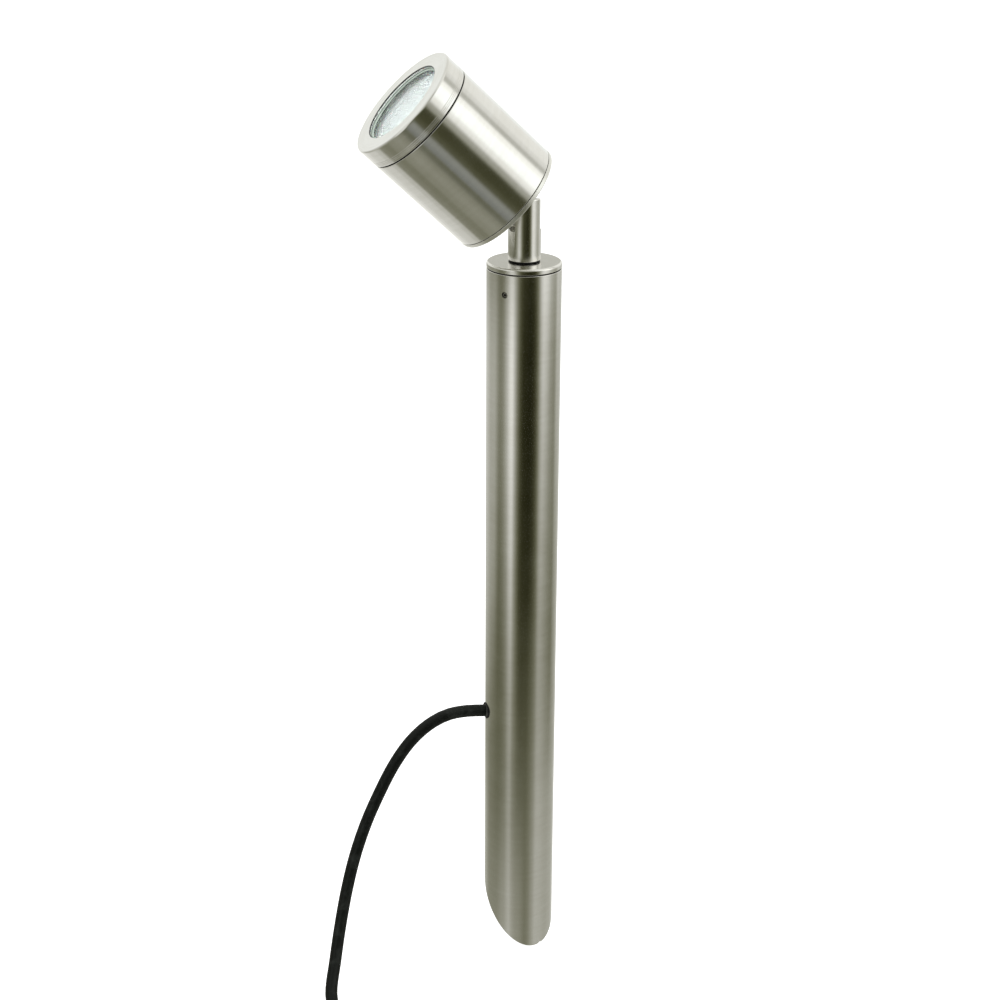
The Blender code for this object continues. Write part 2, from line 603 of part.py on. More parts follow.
def make_connector():
    """The sealed two-pin connector on the hank: boot, body, coupling nut and pins."""
    away = Vector((math.cos(CONNECTOR_HEADING), math.sin(CONNECTOR_HEADING), 0.0))
    turn = (0.0, math.pi / 2.0, CONNECTOR_HEADING)
    place = {"at": CONNECTOR_START, "turn": turn}
    boot = [(CABLE_RADIUS + GAP, 18.0 * MM), (6.5 * MM, 18.0 * MM), (6.2 * MM, 12.0 * MM),
            (4.8 * MM, 0.0), (CABLE_RADIUS + GAP, 0.0)]
    turned("connector_boot", boot, rubber, steps=COARSE_STEPS, **place)
    body = [(0.0, 44.0 * MM), (5.6 * MM, 44.0 * MM), (5.6 * MM, 36.0 * MM), (7.4 * MM, 36.0 * MM),
            (7.4 * MM, 18.4 * MM), (0.0, 18.4 * MM)]
    shell = turned("connector_body", body, black_plastic, steps=COARSE_STEPS, closed=False, **place)
    nut = [(6.0 * MM, 46.0 * MM), (8.2 * MM, 46.0 * MM), (CONNECTOR_RADIUS, 45.2 * MM),
           (CONNECTOR_RADIUS, 30.0 * MM), (7.8 * MM, 30.0 * MM), (7.8 * MM, 36.4 * MM), (6.0 * MM, 36.4 * MM)]
    turned("connector_nut", nut, black_plastic, steps=COARSE_STEPS, **place)
    across = Vector((-away.y, away.x, 0.0))
    for number, side in enumerate((-1.0, 1.0), 1):
        spot = {"at": tuple(Vector(CONNECTOR_START) + side * 2.2 * MM * across), "turn": turn}
        hole = rod(f"socket_{number}", 1.0 * MM, 38.0 * MM, 50.0 * MM, None, steps=12, **spot)
        boolean(shell, hole)
        rod(f"connector_pin_{number}", 0.8 * MM, 38.3 * MM, 45.5 * MM, brass, steps=12, **spot)


for old in list(bpy.data.objects):
    bpy.data.objects.remove(old)
parts = bpy.data.collections.new("pond_light")
cutters = bpy.data.collections.new("cutters")
bpy.context.scene.collection.children.link(parts)
bpy.context.scene.collection.children.link(cutters)
cutters.hide_render = True

brushed_steel = material("brushed_steel", (0.52, 0.51, 0.47), 0.28, metallic=1.0)
screw_steel = material("screw_steel", (0.60, 0.60, 0.58), 0.35, metallic=1.0)
rubber = material("black_rubber", (0.012, 0.012, 0.012), 0.55)
cable_jacket = material("cable_jacket", (0.010, 0.011, 0.010), 0.42)
black_plastic = material("black_plastic", (0.014, 0.014, 0.015), 0.40)
tie_nylon = material("tie_nylon", (0.020, 0.020, 0.020), 0.45)
clear_glass = material("clear_glass", (0.90, 0.97, 0.94), 0.05, transmission=1.0)
reflector_glass = material("reflector_glass", (0.80, 0.84, 0.82), 0.15, metallic=1.0)
ceramic = material("ceramic", (0.82, 0.80, 0.74), 0.45)
silicone = material("silicone", (0.75, 0.76, 0.74), 0.50)
resin = material("potting_resin", (0.03, 0.03, 0.03), 0.30)
brass = material("brass", (0.75, 0.55, 0.25), 0.25, metallic=1.0)
core_looks = {
    "live": material("core_brown", (0.16, 0.07, 0.03), 0.50),
    "neutral": material("core_blue", (0.03, 0.10, 0.35), 0.50),
}

pan_axis = bpy.data.objects.new("pan_axis", None)
pan_axis.location = (0.0, 0.0, CAP_TOP)
tilt_axis = bpy.data.objects.new("tilt_axis", None)
tilt_axis.location = (0.0, 0.0, PIVOT_HEIGHT - CAP_TOP)
tilt_axis.rotation_euler = (0.0, -HEAD_TILT, 0.0)
tilt_axis.parent = pan_axis
for axis in (pan_axis, tilt_axis):
    parts.objects.link(axis)

make_spike_tube()
make_pole_cap()
make_grommet()
make_inner_cable()
make_swivel_stem(pan_axis)
make_rear_cap(tilt_axis)
make_head_body(tilt_axis)
make_bezel(tilt_axis)
make_lamp(tilt_axis)
make_lamp_holder(tilt_axis)
cable("cord_lead", smooth_route(millimetres(LEAD_ROUTE), 5.0 * CABLE_RADIUS), CABLE_RADIUS, cable_jacket,
      resolution=3)
cable("cord_tail", smooth_route(millimetres(TAIL_ROUTE), 5.0 * CABLE_RADIUS), CABLE_RADIUS, cable_jacket,
      resolution=3)
make_hank()
make_connector()
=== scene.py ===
"""The looks of an underwater pond light on a ground spike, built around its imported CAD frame.

Metres in the scene, and millimetres in the profiles of turned pieces, which are scaled as their mesh is made.
"""

import json
import math

import bmesh
import bpy
from mathutils import Matrix, Vector

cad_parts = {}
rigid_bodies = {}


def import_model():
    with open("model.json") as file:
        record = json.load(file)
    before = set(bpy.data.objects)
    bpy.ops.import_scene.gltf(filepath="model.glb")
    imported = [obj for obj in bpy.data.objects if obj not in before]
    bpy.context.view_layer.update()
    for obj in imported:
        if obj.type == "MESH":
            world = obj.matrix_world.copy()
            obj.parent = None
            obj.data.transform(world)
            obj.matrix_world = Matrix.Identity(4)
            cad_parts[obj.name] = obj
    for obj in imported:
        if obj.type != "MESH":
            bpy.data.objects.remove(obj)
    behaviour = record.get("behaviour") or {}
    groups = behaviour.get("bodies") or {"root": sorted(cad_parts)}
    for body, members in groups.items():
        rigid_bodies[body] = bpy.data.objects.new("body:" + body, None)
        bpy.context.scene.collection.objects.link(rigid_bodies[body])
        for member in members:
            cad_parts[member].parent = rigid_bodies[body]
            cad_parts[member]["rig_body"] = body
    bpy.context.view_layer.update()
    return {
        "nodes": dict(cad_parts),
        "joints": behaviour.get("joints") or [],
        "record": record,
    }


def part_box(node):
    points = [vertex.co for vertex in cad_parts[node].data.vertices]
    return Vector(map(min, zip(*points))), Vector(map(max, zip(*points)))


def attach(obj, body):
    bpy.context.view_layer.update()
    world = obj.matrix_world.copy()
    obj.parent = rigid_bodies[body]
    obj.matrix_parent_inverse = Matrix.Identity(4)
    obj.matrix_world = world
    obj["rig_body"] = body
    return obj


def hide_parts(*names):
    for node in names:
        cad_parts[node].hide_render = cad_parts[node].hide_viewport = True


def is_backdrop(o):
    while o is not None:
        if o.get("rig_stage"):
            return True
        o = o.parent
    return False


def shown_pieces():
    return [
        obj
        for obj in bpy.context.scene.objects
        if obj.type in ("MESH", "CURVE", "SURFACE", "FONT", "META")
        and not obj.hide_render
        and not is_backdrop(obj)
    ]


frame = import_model()

MM = 0.001
ROUND_STEPS = 192
SMALL_STEPS = 64
PIN_STEPS = 32
FILLET_STEPS = 4
SHARP_ANGLE = math.radians(32.0)

# Camera, at the photograph's viewing angle
CAMERA_PLACE = (-0.2972, -0.9339, 0.64235)
CAMERA_TURN = math.radians(-16.98)
CAMERA_DOWN = math.radians(21.21)
CAMERA_ROLL = math.radians(0.302)
CAMERA_LENS = 72.35

# Supply cable: the routes of its free stretches, and the hank between them
CABLE_DIAMETER = 0.0066
LEAD_ROUTE = [
    (-0.0201, 0.0, 0.142), (-0.03, 0.0, 0.1431), (-0.04, 0.0, 0.1426), (-0.049, -0.0001, 0.1394),
    (-0.0574, -0.0004, 0.1338), (-0.065, -0.0009, 0.1262), (-0.073, -0.0022, 0.1154),
    (-0.0812, -0.0044, 0.1016), (-0.089, -0.0078, 0.0876), (-0.0964, -0.0126, 0.0718),
    (-0.1029, -0.0192, 0.0554), (-0.1088, -0.028, 0.0396), (-0.1144, -0.0392, 0.0258),
    (-0.1198, -0.0528, 0.0148), (-0.1202, -0.0685, 0.0078), (-0.1199, -0.086, 0.0049),
    (-0.1197, -0.103, 0.0047), (-0.1197, -0.12, 0.0047),
]
RISE_ROUTE = [(-0.07, -0.1806, 0.0233), (-0.061, -0.1791, 0.026)]
TAIL_ROUTE = [
    (-0.052, -0.1774, 0.0294), (-0.046, -0.1762, 0.0315), (-0.04, -0.1753, 0.0333),
    (-0.034, -0.1747, 0.0345), (-0.0299, -0.1745, 0.0347),
]
INNER_ROUTE = [
    (-0.0197, 0.0, 0.142), (-0.0155, 0.0, 0.142), (-0.009, 0.0, 0.1432), (-0.0025, 0.0, 0.1472),
    (0.0026, 0.0, 0.154), (0.0056, 0.0, 0.163), (0.0066, 0.0, 0.174), (0.0062, 0.0, 0.19),
    (0.0042, 0.0, 0.22), (0.0016, 0.0, 0.26), (0.0002, 0.0, 0.31), (0.0, 0.0, 0.35), (0.0, 0.0, 0.4059),
]
TURN_PITCH = 0.0067
WIDE_ROW = 4
BUNDLE_ACROSS = WIDE_ROW * TURN_PITCH + 0.0003
FIRST_HEIGHT = 0.0047
FREE_TURNS = 13.16
TURN_POINTS = 50
# One turn of the hank: how far through it each of its bends and straights ends, and where that is
TURN_STOPS = (0.0, 0.16, 0.34, 0.66, 0.84, 1.0)
STOP_ANGLES = (180.0, 270.0, 270.0, 450.0, 450.0, 540.0)
STOP_ENDS = (-1.0, -1.0, 1.0, 1.0, -1.0, -1.0)
LIFT_STARTS = 0.54

RECORD = frame["record"]
JOINTS = {joint["name"]: joint for joint in frame["joints"]}
BODY_OF = {node: body for body, nodes in RECORD["behaviour"]["bodies"].items() for node in nodes}
SLOT_OF = {part["node"]: part["material_slot"] for part in RECORD["subparts"]}


# ---------------- places and measures

def centre_of(node):
    low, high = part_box(node)
    return (low + high) / 2.0


def looking_along(origin, direction):
    """A frame whose Z runs along a direction, and whose Y stays as level as it can."""
    z = Vector(direction).normalized()
    level = Vector((0.0, 0.0, 1.0)) if abs(z.z) < 0.99 else Vector((1.0, 0.0, 0.0))
    y = level.cross(z).normalized()
    x = y.cross(z)
    return Matrix.Translation(origin) @ Matrix((x, y, z)).transposed().to_4x4()


UPRIGHT = Matrix.Identity(4)
ACROSS = Matrix.Rotation(math.pi / 2.0, 4, "X")
SIDES = (-1.0, 1.0)
PIVOT = Vector(JOINTS["head_tilt"]["pos_m"])
HEAD_AXIS = Vector(JOINTS["bezel_turn"]["axis"])
HEAD = looking_along(PIVOT, HEAD_AXIS)
BOOT_MIDDLE = centre_of("connector_boot")
CONNECTOR = looking_along(BOOT_MIDDLE, centre_of("connector_nut") - BOOT_MIDDLE)
CABLE_EXIT = looking_along((0.0, 0.0, LEAD_ROUTE[0][2]), (-1.0, 0.0, 0.0))


class Extent:
    """The reach of a CAD node about a frame's Z axis, in millimetres."""

    def __init__(self, node, place):
        inverse = place.inverted()
        points = [inverse @ vertex.co for vertex in frame["nodes"][node].data.vertices]
        radii = [math.hypot(point.x, point.y) / MM for point in points]
        self.low = min(point.z for point in points) / MM
        self.high = max(point.z for point in points) / MM
        self.inner = min(radii)
        self.outer = max(radii)


def smooth_step(t):
    t = min(max(t, 0.0), 1.0)
    return t * t * (3.0 - 2.0 * t)


# ---------------- camera and cord

def placed(name, data, place=UPRIGHT):
    made = bpy.data.objects.new(name, data)
    bpy.context.scene.collection.objects.link(made)
    made.matrix_world = place
    return made


def make_camera():
    turn = Matrix.Rotation(CAMERA_TURN, 4, "Z") @ Matrix.Rotation(math.pi / 2.0 - CAMERA_DOWN, 4, "X")
    place = Matrix.Translation(CAMERA_PLACE) @ turn @ Matrix.Rotation(CAMERA_ROLL, 4, "Z")
    camera = placed("camera", bpy.data.cameras.new("camera"), place)
    camera.data.lens = CAMERA_LENS
    camera.data.clip_start = 0.01
    bpy.context.scene.camera = camera


def smooth_route(points, spacing):
    """Points about a spacing apart on a Catmull-Rom curve through the route's own points."""
    nodes = [Vector(point) for point in points]
    nodes = [2.0 * nodes[0] - nodes[1]] + nodes + [2.0 * nodes[-1] - nodes[-2]]
    route = [nodes[1]]
    for a, b, c, d in zip(nodes, nodes[1:], nodes[2:], nodes[3:]):
        steps = max(1, round((c - b).length / spacing))
        for i in range(1, steps + 1):
            t = i / steps
            bend = (2.0 * a - 5.0 * b + 4.0 * c - d) * t * t
            twist = (3.0 * b - a - 3.0 * c + d) * t * t * t
            route.append(0.5 * (2.0 * b + (c - a) * t + bend + twist))
    return route


def hank_shape():
    """The hank's middle, half the length of its straight sides, and the mean radius of its ends."""
    low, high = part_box("cord_hank")
    size = high - low
    return (low + high) / 2.0, (size.x - size.y) / 2.0, (size.y - BUNDLE_ACROSS) / 2.0


def turn_places(mean):
    """Radius and row of each turn: rows of four and three by turns, each laid in the hollows of the last."""
    places = []
    for row in range(4):
        count = WIDE_ROW - row % 2
        radii = [mean + (i - (count - 1) / 2.0) * TURN_PITCH for i in range(count)]
        if row % 2 == 0:
            radii.reverse()
        places += [(radius, row) for radius in radii]
    return places


def between_stops(part, values):
    """The value part of the way through a turn, from its values at the turn's stops."""
    for i in range(len(values) - 1):
        if part <= TURN_STOPS[i + 1]:
            t = (part - TURN_STOPS[i]) / (TURN_STOPS[i + 1] - TURN_STOPS[i])
            return values[i] + (values[i + 1] - values[i]) * t
    return values[-1]


def hank_route():
    """The hank's turns. Each steps sideways along one straight, riding up over the row below as it does."""
    middle, half, mean = hank_shape()
    places = turn_places(mean)
    row_step = TURN_PITCH * math.sin(math.radians(60.0))
    hump = CABLE_DIAMETER - row_step + 0.0001
    shift_starts, shift_ends = TURN_STOPS[3], TURN_STOPS[4]
    route = []
    for i in range(round(FREE_TURNS * TURN_POINTS) + 1):
        turns = i / TURN_POINTS
        number = min(int(turns), len(places) - 1)
        part = turns - number
        radius, row = places[number]
        next_radius, next_row = places[min(number + 1, len(places) - 1)]
        height = row * row_step
        shift = (part - shift_starts) / (shift_ends - shift_starts)
        lift = smooth_step((part - LIFT_STARTS) / (shift_starts - LIFT_STARTS))
        if next_row == row:
            radius += (next_radius - radius) * smooth_step(shift)
        else:
            rise = math.radians(60.0) * lift
            radius += (next_radius - radius) * (2.0 - 2.0 * math.cos(rise))
            height += TURN_PITCH * math.sin(rise)
            row = next_row if lift > 0.5 else row
        height += row * hump * smooth_step(4.0 * min(shift, 1.0 - shift))
        angle = math.radians(between_stops(part, STOP_ANGLES))
        along = half * between_stops(part, STOP_ENDS)
        route.append(Vector((middle.x + along + radius * math.cos(angle), middle.y + radius * math.sin(angle),
                             FIRST_HEIGHT + height)))
    return route


def straight(start, end, spacing):
    """Points between two places, without the places themselves."""
    steps = max(1, round((end - start).length / spacing))
    return [start.lerp(end, i / steps) for i in range(1, steps)]


def cable_route():
    lead = smooth_route(LEAD_ROUTE, 0.004)
    hank = hank_route()
    tail = smooth_route([hank[-1]] + RISE_ROUTE + TAIL_ROUTE, 0.003)
    return lead + straight(lead[-1], hank[0], 0.005) + hank + tail[1:]


def wire(name, points, radius, place=UPRIGHT, resolution=6):
    """A round cable or wire through the given points, as one open spline with filled ends."""
    curve = bpy.data.curves.new(name, "CURVE")
    curve.dimensions = "3D"
    curve.bevel_depth = radius
    curve.bevel_resolution = resolution
    curve.use_fill_caps = True
    spline = curve.splines.new("POLY")
    spline.points.add(len(points) - 1)
    for knot, point in zip(spline.points, points):
        knot.co = (*point, 1.0)
    return placed(name, curve, place)


def dress(piece, *nodes, look=None):
    """Puts a piece on its body, in place of the CAD node it is named after or of the ones given."""
    nodes = nodes or [piece.name.removesuffix("_detail")]
    slot = SLOT_OF[nodes[0]]
    piece.data.materials.clear()
    piece.data.materials.append(LOOKS[look or slot])
    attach(piece, BODY_OF[nodes[0]])
    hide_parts(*nodes)
    return piece


# ---------------- mesh tools, in millimetres

def rounded(corners, closed=True, steps=FILLET_STEPS):
    """A profile of (radius, height) points from corners of (radius, height, fillet)."""
    corners = [Vector((*corner, 0.0)[:3]) for corner in corners]
    count = len(corners)
    points = []
    for i, corner in enumerate(corners):
        here = corner.xy
        fillet = corner.z
        if fillet <= 0.0 or (not closed and i in (0, count - 1)):
            points.append(here)
            continue
        back = (corners[i - 1].xy - here).normalized()
        ahead = (corners[(i + 1) % count].xy - here).normalized()
        half = back.angle(ahead) / 2.0
        reach = fillet / math.tan(half)
        middle = here + (back + ahead).normalized() * (fillet / math.sin(half))
        first = here + back * reach - middle
        last = here + ahead * reach - middle
        sweep = first.angle_signed(last)
        for step in range(steps + 1):
            points.append(middle + Matrix.Rotation(-sweep * step / steps, 2) @ first)
    return supported(points, closed)


def supported(points, closed, hold=0.12):
    """Adds a point close to each end of every long straight stretch, so that shading stays flat along it."""
    result = []
    pairs = list(zip(points, points[1:] + points[:1]))
    for a, b in pairs if closed else pairs[:-1]:
        result.append(a)
        length = (b - a).length
        if length > 5.0 * hold:
            result += [a.lerp(b, hold / length), b.lerp(a, hold / length)]
    return result if closed else result + [points[-1]]


def mesh_object(name, shape, place=UPRIGHT, sharp=SHARP_ANGLE):
    bmesh.ops.recalc_face_normals(shape, faces=shape.faces)
    mesh = bpy.data.meshes.new(name)
    shape.to_mesh(mesh)
    shape.free()
    piece = placed(name, mesh, place)
    shade(piece, sharp)
    return piece


def shade(piece, sharp=SHARP_ANGLE):
    piece.data.shade_smooth()
    piece.data.set_sharp_from_angle(angle=sharp)


def turned(name, profile, place=UPRIGHT, closed=True, steps=ROUND_STEPS, form=None, sharp=SHARP_ANGLE):
    """A solid turned about the local Z axis. A form changes each point's (radius, height) by its angle."""
    shape = bmesh.new()
    rings = []
    for radius, height in profile:
        ring = []
        for i in range(1 if radius < 1e-6 else steps):
            angle = math.tau * i / steps
            r, z = form(angle, radius, height) if form else (radius, height)
            ring.append(shape.verts.new((r * math.cos(angle) * MM, r * math.sin(angle) * MM, z * MM)))
        rings.append(ring)
    pairs = list(zip(rings, rings[1:] + rings[:1]))
    for upper, lower in pairs if closed else pairs[:-1]:
        for i in range(steps):
            corners = [upper[i % len(upper)], upper[(i + 1) % len(upper)],
                       lower[(i + 1) % len(lower)], lower[i % len(lower)]]
            corners = list(dict.fromkeys(corners))
            if len(corners) > 2:
                shape.faces.new(corners)
    return mesh_object(name, shape, place, sharp)


def solid(name, corners, place, steps=ROUND_STEPS, form=None):
    """A turned solid, from corners that start and end on its axis."""
    return turned(name, rounded(corners, closed=False), place, closed=False, steps=steps, form=form)


def rod(name, radius, low, high, place=UPRIGHT, fillet=0.0, steps=SMALL_STEPS):
    return solid(name, [(0.0, high), (radius, high, fillet), (radius, low, fillet), (0.0, low)], place, steps)


def plain_rod(node, place, fillet, steps=PIN_STEPS):
    """A rod as large as its CAD node, with rounded ends."""
    size = Extent(node, place)
    dress(rod(node + "_detail", size.outer, size.low, size.high, place, fillet, steps))


def plain_ring(node, place, fillets):
    """A ring as large as its CAD node. Its fillets go from the inner upper edge outwards and round."""
    size = Extent(node, place)
    first, second, third, fourth = fillets
    corners = [(size.inner, size.high, first), (size.outer, size.high, second), (size.outer, size.low, third),
               (size.inner, size.low, fourth)]
    return turned(node + "_detail", rounded(corners), place)


def torus(name, radius, height, section, place=UPRIGHT):
    points = []
    for i in range(20):
        angle = -math.tau * i / 20
        points.append((radius + section * math.cos(angle), height + section * math.sin(angle)))
    return turned(name, points, place)


def block(name, size, place=UPRIGHT, middle=(0.0, 0.0, 0.0), bevel=0.0):
    shape = bmesh.new()
    stretch = Matrix.Diagonal((*[side * MM for side in size], 1.0))
    bmesh.ops.create_cube(shape, size=1.0, matrix=Matrix.Translation(Vector(middle) * MM) @ stretch)
    if bevel:
        bmesh.ops.bevel(shape, geom=shape.edges[:], offset=bevel * MM, segments=3, profile=0.5,
                        affect="EDGES")
    return mesh_object(name, shape, place)


def outline_block(name, outline, thickness, place):
    """A flat outline of (x, z) points, given a thickness along Y."""
    shape = bmesh.new()
    near, far = [[shape.verts.new((x * MM, side * thickness / 2.0 * MM, z * MM)) for x, z in outline]
                 for side in SIDES]
    shape.faces.new(near)
    shape.faces.new(far[::-1])
    for i in range(len(outline)):
        j = (i + 1) % len(outline)
        shape.faces.new((near[j], near[i], far[i], far[j]))
    return mesh_object(name, shape, place)


def carve(piece, *tools, operation="DIFFERENCE", bevel=0.0):
    """Cuts tools from a piece, or joins them to it, rounds the new edges, and removes the tools."""
    for tool in tools:
        change = piece.modifiers.new(tool.name, "BOOLEAN")
        change.operation = operation
        change.object = tool
    if bevel:
        edge = piece.modifiers.new("edges", "BEVEL")
        edge.limit_method = "ANGLE"
        edge.angle_limit = math.radians(50.0)
        edge.width = bevel * MM
        edge.segments = 2
    bpy.context.view_layer.update()
    graph = bpy.context.evaluated_depsgraph_get()
    mesh = bpy.data.meshes.new_from_object(piece.evaluated_get(graph))
    piece.modifiers.clear()
    piece.data = mesh
    for tool in tools:
        bpy.data.objects.remove(tool)
    shade(piece)
    return piece


def helical(low, high, pitch, depth, fits):
    """A form that cuts a screw thread between two heights, on the points whose radius fits."""
    def form(angle, radius, height):
        if low < height < high and fits(radius):
            fade = min(1.0, (height - low) / pitch, (high - height) / pitch)
            phase = (height / pitch - angle / math.tau) % 1.0
            radius -= depth * fade * abs(2.0 * phase - 1.0)
        return radius, height
    return form


def rows(radius, high, low, step):
    """Corners down a straight wall at even steps, for a form to act on."""
    count = round(abs(high - low) / step)
    return [(radius, high + (low - high) * i / count) for i in range(1, count)]


def hexagonal(across_corners, fits):
    """A form that turns a round wall into six flats, on the points whose radius fits."""
    apothem = across_corners * math.cos(math.pi / 6.0)

    def form(angle, radius, height):
        if fits(radius):
            flat = (angle + math.pi / 6.0) % (math.pi / 3.0) - math.pi / 6.0
            radius = min(radius, apothem / math.cos(flat))
        return radius, height
    return form


# ---------------- materials

class Graph:
    """A material's nodes, with short ways to add and link them."""

    def __init__(self, name, colour, roughness, metallic=0.0, **sockets):
        self.material = bpy.data.materials.new(name)
        self.material.use_nodes = True
        self.nodes = self.material.node_tree.nodes
        self.links = self.material.node_tree.links
        self.shader = self.nodes["Principled BSDF"]
        self.set("Base Color", (*colour, 1.0))
        self.set("Roughness", roughness)
        self.set("Metallic", metallic)
        for socket, value in sockets.items():
            self.set(socket.replace("_", " "), value)
        self.place = self.node("TexCoord").outputs["Object"]

    def set(self, socket, value):
        target = self.shader.inputs[socket]
        if isinstance(value, bpy.types.NodeSocket):
            self.links.new(value, target)
        else:
            target.default_value = value

    def node(self, kind, inputs=(), **settings):
        made = self.nodes.new("ShaderNode" + kind)
        for key, value in settings.items():
            setattr(made, key, value)
        for key, value in dict(inputs).items():
            if isinstance(value, bpy.types.NodeSocket):
                self.links.new(value, made.inputs[key])
            else:
                made.inputs[key].default_value = value
        return made

    def maths(self, operation, a, b=0.0):
        return self.node("Math", {0: a, 1: b}, operation=operation).outputs[0]

    def noise(self, scale, detail=2.0, rough=0.5, at=None, distortion=0.0):
        made = self.node("TexNoise", {"Vector": at or self.place, "Scale": scale, "Detail": detail,
                                                "Roughness": rough, "Distortion": distortion})
        return made.outputs["Fac"]

    def cells(self, scale):
        return self.node("TexVoronoi", {"Vector": self.place, "Scale": scale}).outputs["Distance"]

    def spread(self, value, low, high, from_low=0.3, from_high=0.7):
        """Maps a pattern's middle range to the values from low to high."""
        made = self.node("MapRange", {"Value": value, "From Min": from_low, "From Max": from_high,
                                                "To Min": low, "To Max": high})
        return made.outputs["Result"]

    def blend(self, amount, first, second):
        made = self.node("Mix", {"Factor": amount}, data_type="RGBA")
        made.inputs[6].default_value = (*first, 1.0)
        made.inputs[7].default_value = (*second, 1.0)
        return made.outputs[2]

    def bump(self, height, distance, strength=1.0, over=None):
        inputs = {"Height": height, "Distance": distance, "Strength": strength}
        if over:
            inputs["Normal"] = over
        return self.node("Bump", inputs).outputs["Normal"]

    def mottle(self, pattern, first, second, smooth, rough, reach=(0.3, 0.7)):
        """Changes colour and gloss with one pattern. Its reach runs from the first colour to the second."""
        self.set("Base Color", self.blend(self.spread(pattern, 0.0, 1.0, *reach), first, second))
        self.set("Roughness", self.spread(pattern, smooth, rough))

    def relief(self, height, distance, strength, over=None):
        self.set("Normal", self.bump(height, distance, strength, over))

    def turned_place(self, around, along):
        """Coordinates for marks left by turning: slow round the local Z axis, fast along it and outwards."""
        apart = self.node("SeparateXYZ", {"Vector": self.place}).outputs
        square = self.maths("ADD", self.maths("MULTIPLY", apart["X"], apart["X"]),
                            self.maths("MULTIPLY", apart["Y"], apart["Y"]))
        radius = self.maths("MAXIMUM", self.maths("SQRT", square), 1e-5)
        x = self.maths("MULTIPLY", self.maths("DIVIDE", apart["X"], radius), around)
        y = self.maths("MULTIPLY", self.maths("DIVIDE", apart["Y"], radius), around)
        reach = self.maths("ADD", apart["Z"], self.maths("MULTIPLY", radius, 1.37))
        z = self.maths("MULTIPLY", reach, along)
        return self.node("CombineXYZ", {"X": x, "Y": y, "Z": z}).outputs["Vector"]

    def turning_tangent(self):
        """Lays the blur of the gloss across the turning marks."""
        self.set("Anisotropic Rotation", 0.25)
        tangent = self.node("Tangent", direction_type="RADIAL", axis="Z")
        self.set("Tangent", tangent.outputs["Tangent"])


def brushed_steel():
    """Stainless steel, fine turned and brushed: hair lines round the axis, soft smears and small specks."""
    g = Graph("brushed_steel", (0.75, 0.74, 0.71), 0.2, 1.0, Anisotropic=0.6)
    g.turning_tangent()
    hair = g.noise(1.0, 3.0, 0.6, at=g.turned_place(3.0, 4200.0))
    marks = g.noise(1.0, 2.0, 0.5, at=g.turned_place(1.2, 520.0))
    smears = g.noise(55.0, 4.0, 0.55, distortion=0.4)
    specks = g.cells(420.0)
    tone = g.maths("ADD", g.maths("MULTIPLY", smears, 0.6), g.maths("MULTIPLY", marks, 0.4))
    g.set("Base Color", g.blend(g.spread(tone, 0.0, 1.0), (0.71, 0.70, 0.66), (0.79, 0.785, 0.76)))
    rough = g.maths("ADD", g.spread(smears, 0.145, 0.185), g.spread(hair, -0.015, 0.02))
    g.set("Roughness", g.maths("ADD", rough, g.spread(specks, 0.08, 0.0, 0.0, 0.08)))
    g.relief(marks, 0.000004, 0.35, over=g.bump(hair, 0.0000012, 0.5))
    return g.material


def screw_steel():
    """Machined steel of screws, nuts and pins, with coarser tool marks and a little dirt in patches."""
    g = Graph("screw_steel", (0.66, 0.655, 0.63), 0.3, 1.0, Anisotropic=0.3)
    g.turning_tangent()
    lines = g.noise(1.0, 2.0, 0.6, at=g.turned_place(2.0, 2600.0))
    dirt = g.noise(900.0, 3.0)
    g.set("Base Color", g.blend(g.spread(dirt, 0.0, 1.0), (0.60, 0.59, 0.56), (0.71, 0.70, 0.68)))
    g.set("Roughness", g.maths("ADD", g.spread(dirt, 0.24, 0.36), g.spread(lines, -0.03, 0.03)))
    g.relief(lines, 0.000004, 0.5)
    return g.material


def satin_steel():
    """Blasted steel of the rear cap, cloudier than the turned faces, with a fine grain."""
    g = Graph("satin_steel", (0.78, 0.77, 0.72), 0.38, 1.0)
    grain = g.noise(4200.0, 3.0)
    clouds = g.noise(120.0, 4.0, 0.6)
    g.set("Base Color", g.blend(g.spread(clouds, 0.0, 1.0), (0.74, 0.735, 0.69), (0.82, 0.81, 0.77)))
    g.set("Roughness", g.maths("ADD", g.spread(clouds, 0.32, 0.42), g.spread(grain, -0.02, 0.02)))
    g.relief(grain, 0.000008, 0.3)
    return g.material


def dark_steel():
    """Blackened steel of the grub screws, with oily patches."""
    g = Graph("dark_steel", (0.28, 0.28, 0.25), 0.5, 1.0)
    oil = g.noise(1300.0, 3.0, 0.6)
    g.mottle(oil, (0.22, 0.22, 0.20), (0.34, 0.335, 0.30), 0.4, 0.6)
    g.relief(oil, 0.00001, 0.4)
    return g.material


def black_rubber():
    """Moulded rubber with a fine grain and pale dust in it."""
    g = Graph("black_rubber", (0.012, 0.012, 0.012), 0.55, Specular_IOR_Level=0.2)
    dust = g.noise(260.0, 5.0, 0.7)
    g.mottle(dust, (0.010, 0.010, 0.010), (0.032, 0.032, 0.030), 0.48, 0.66, reach=(0.45, 0.8))
    g.relief(g.noise(5200.0, 3.0), 0.00002, 0.35)
    return g.material


def grey_rubber():
    """Soft grey-green silicone of the glass's gasket, faintly marbled."""
    g = Graph("grey_rubber", (0.20, 0.23, 0.20), 0.5, Specular_IOR_Level=0.2)
    g.mottle(g.noise(240.0, 4.0, 0.6), (0.18, 0.21, 0.18), (0.22, 0.25, 0.22), 0.45, 0.6)
    g.relief(g.noise(4800.0, 2.0), 0.00001, 0.3)
    return g.material


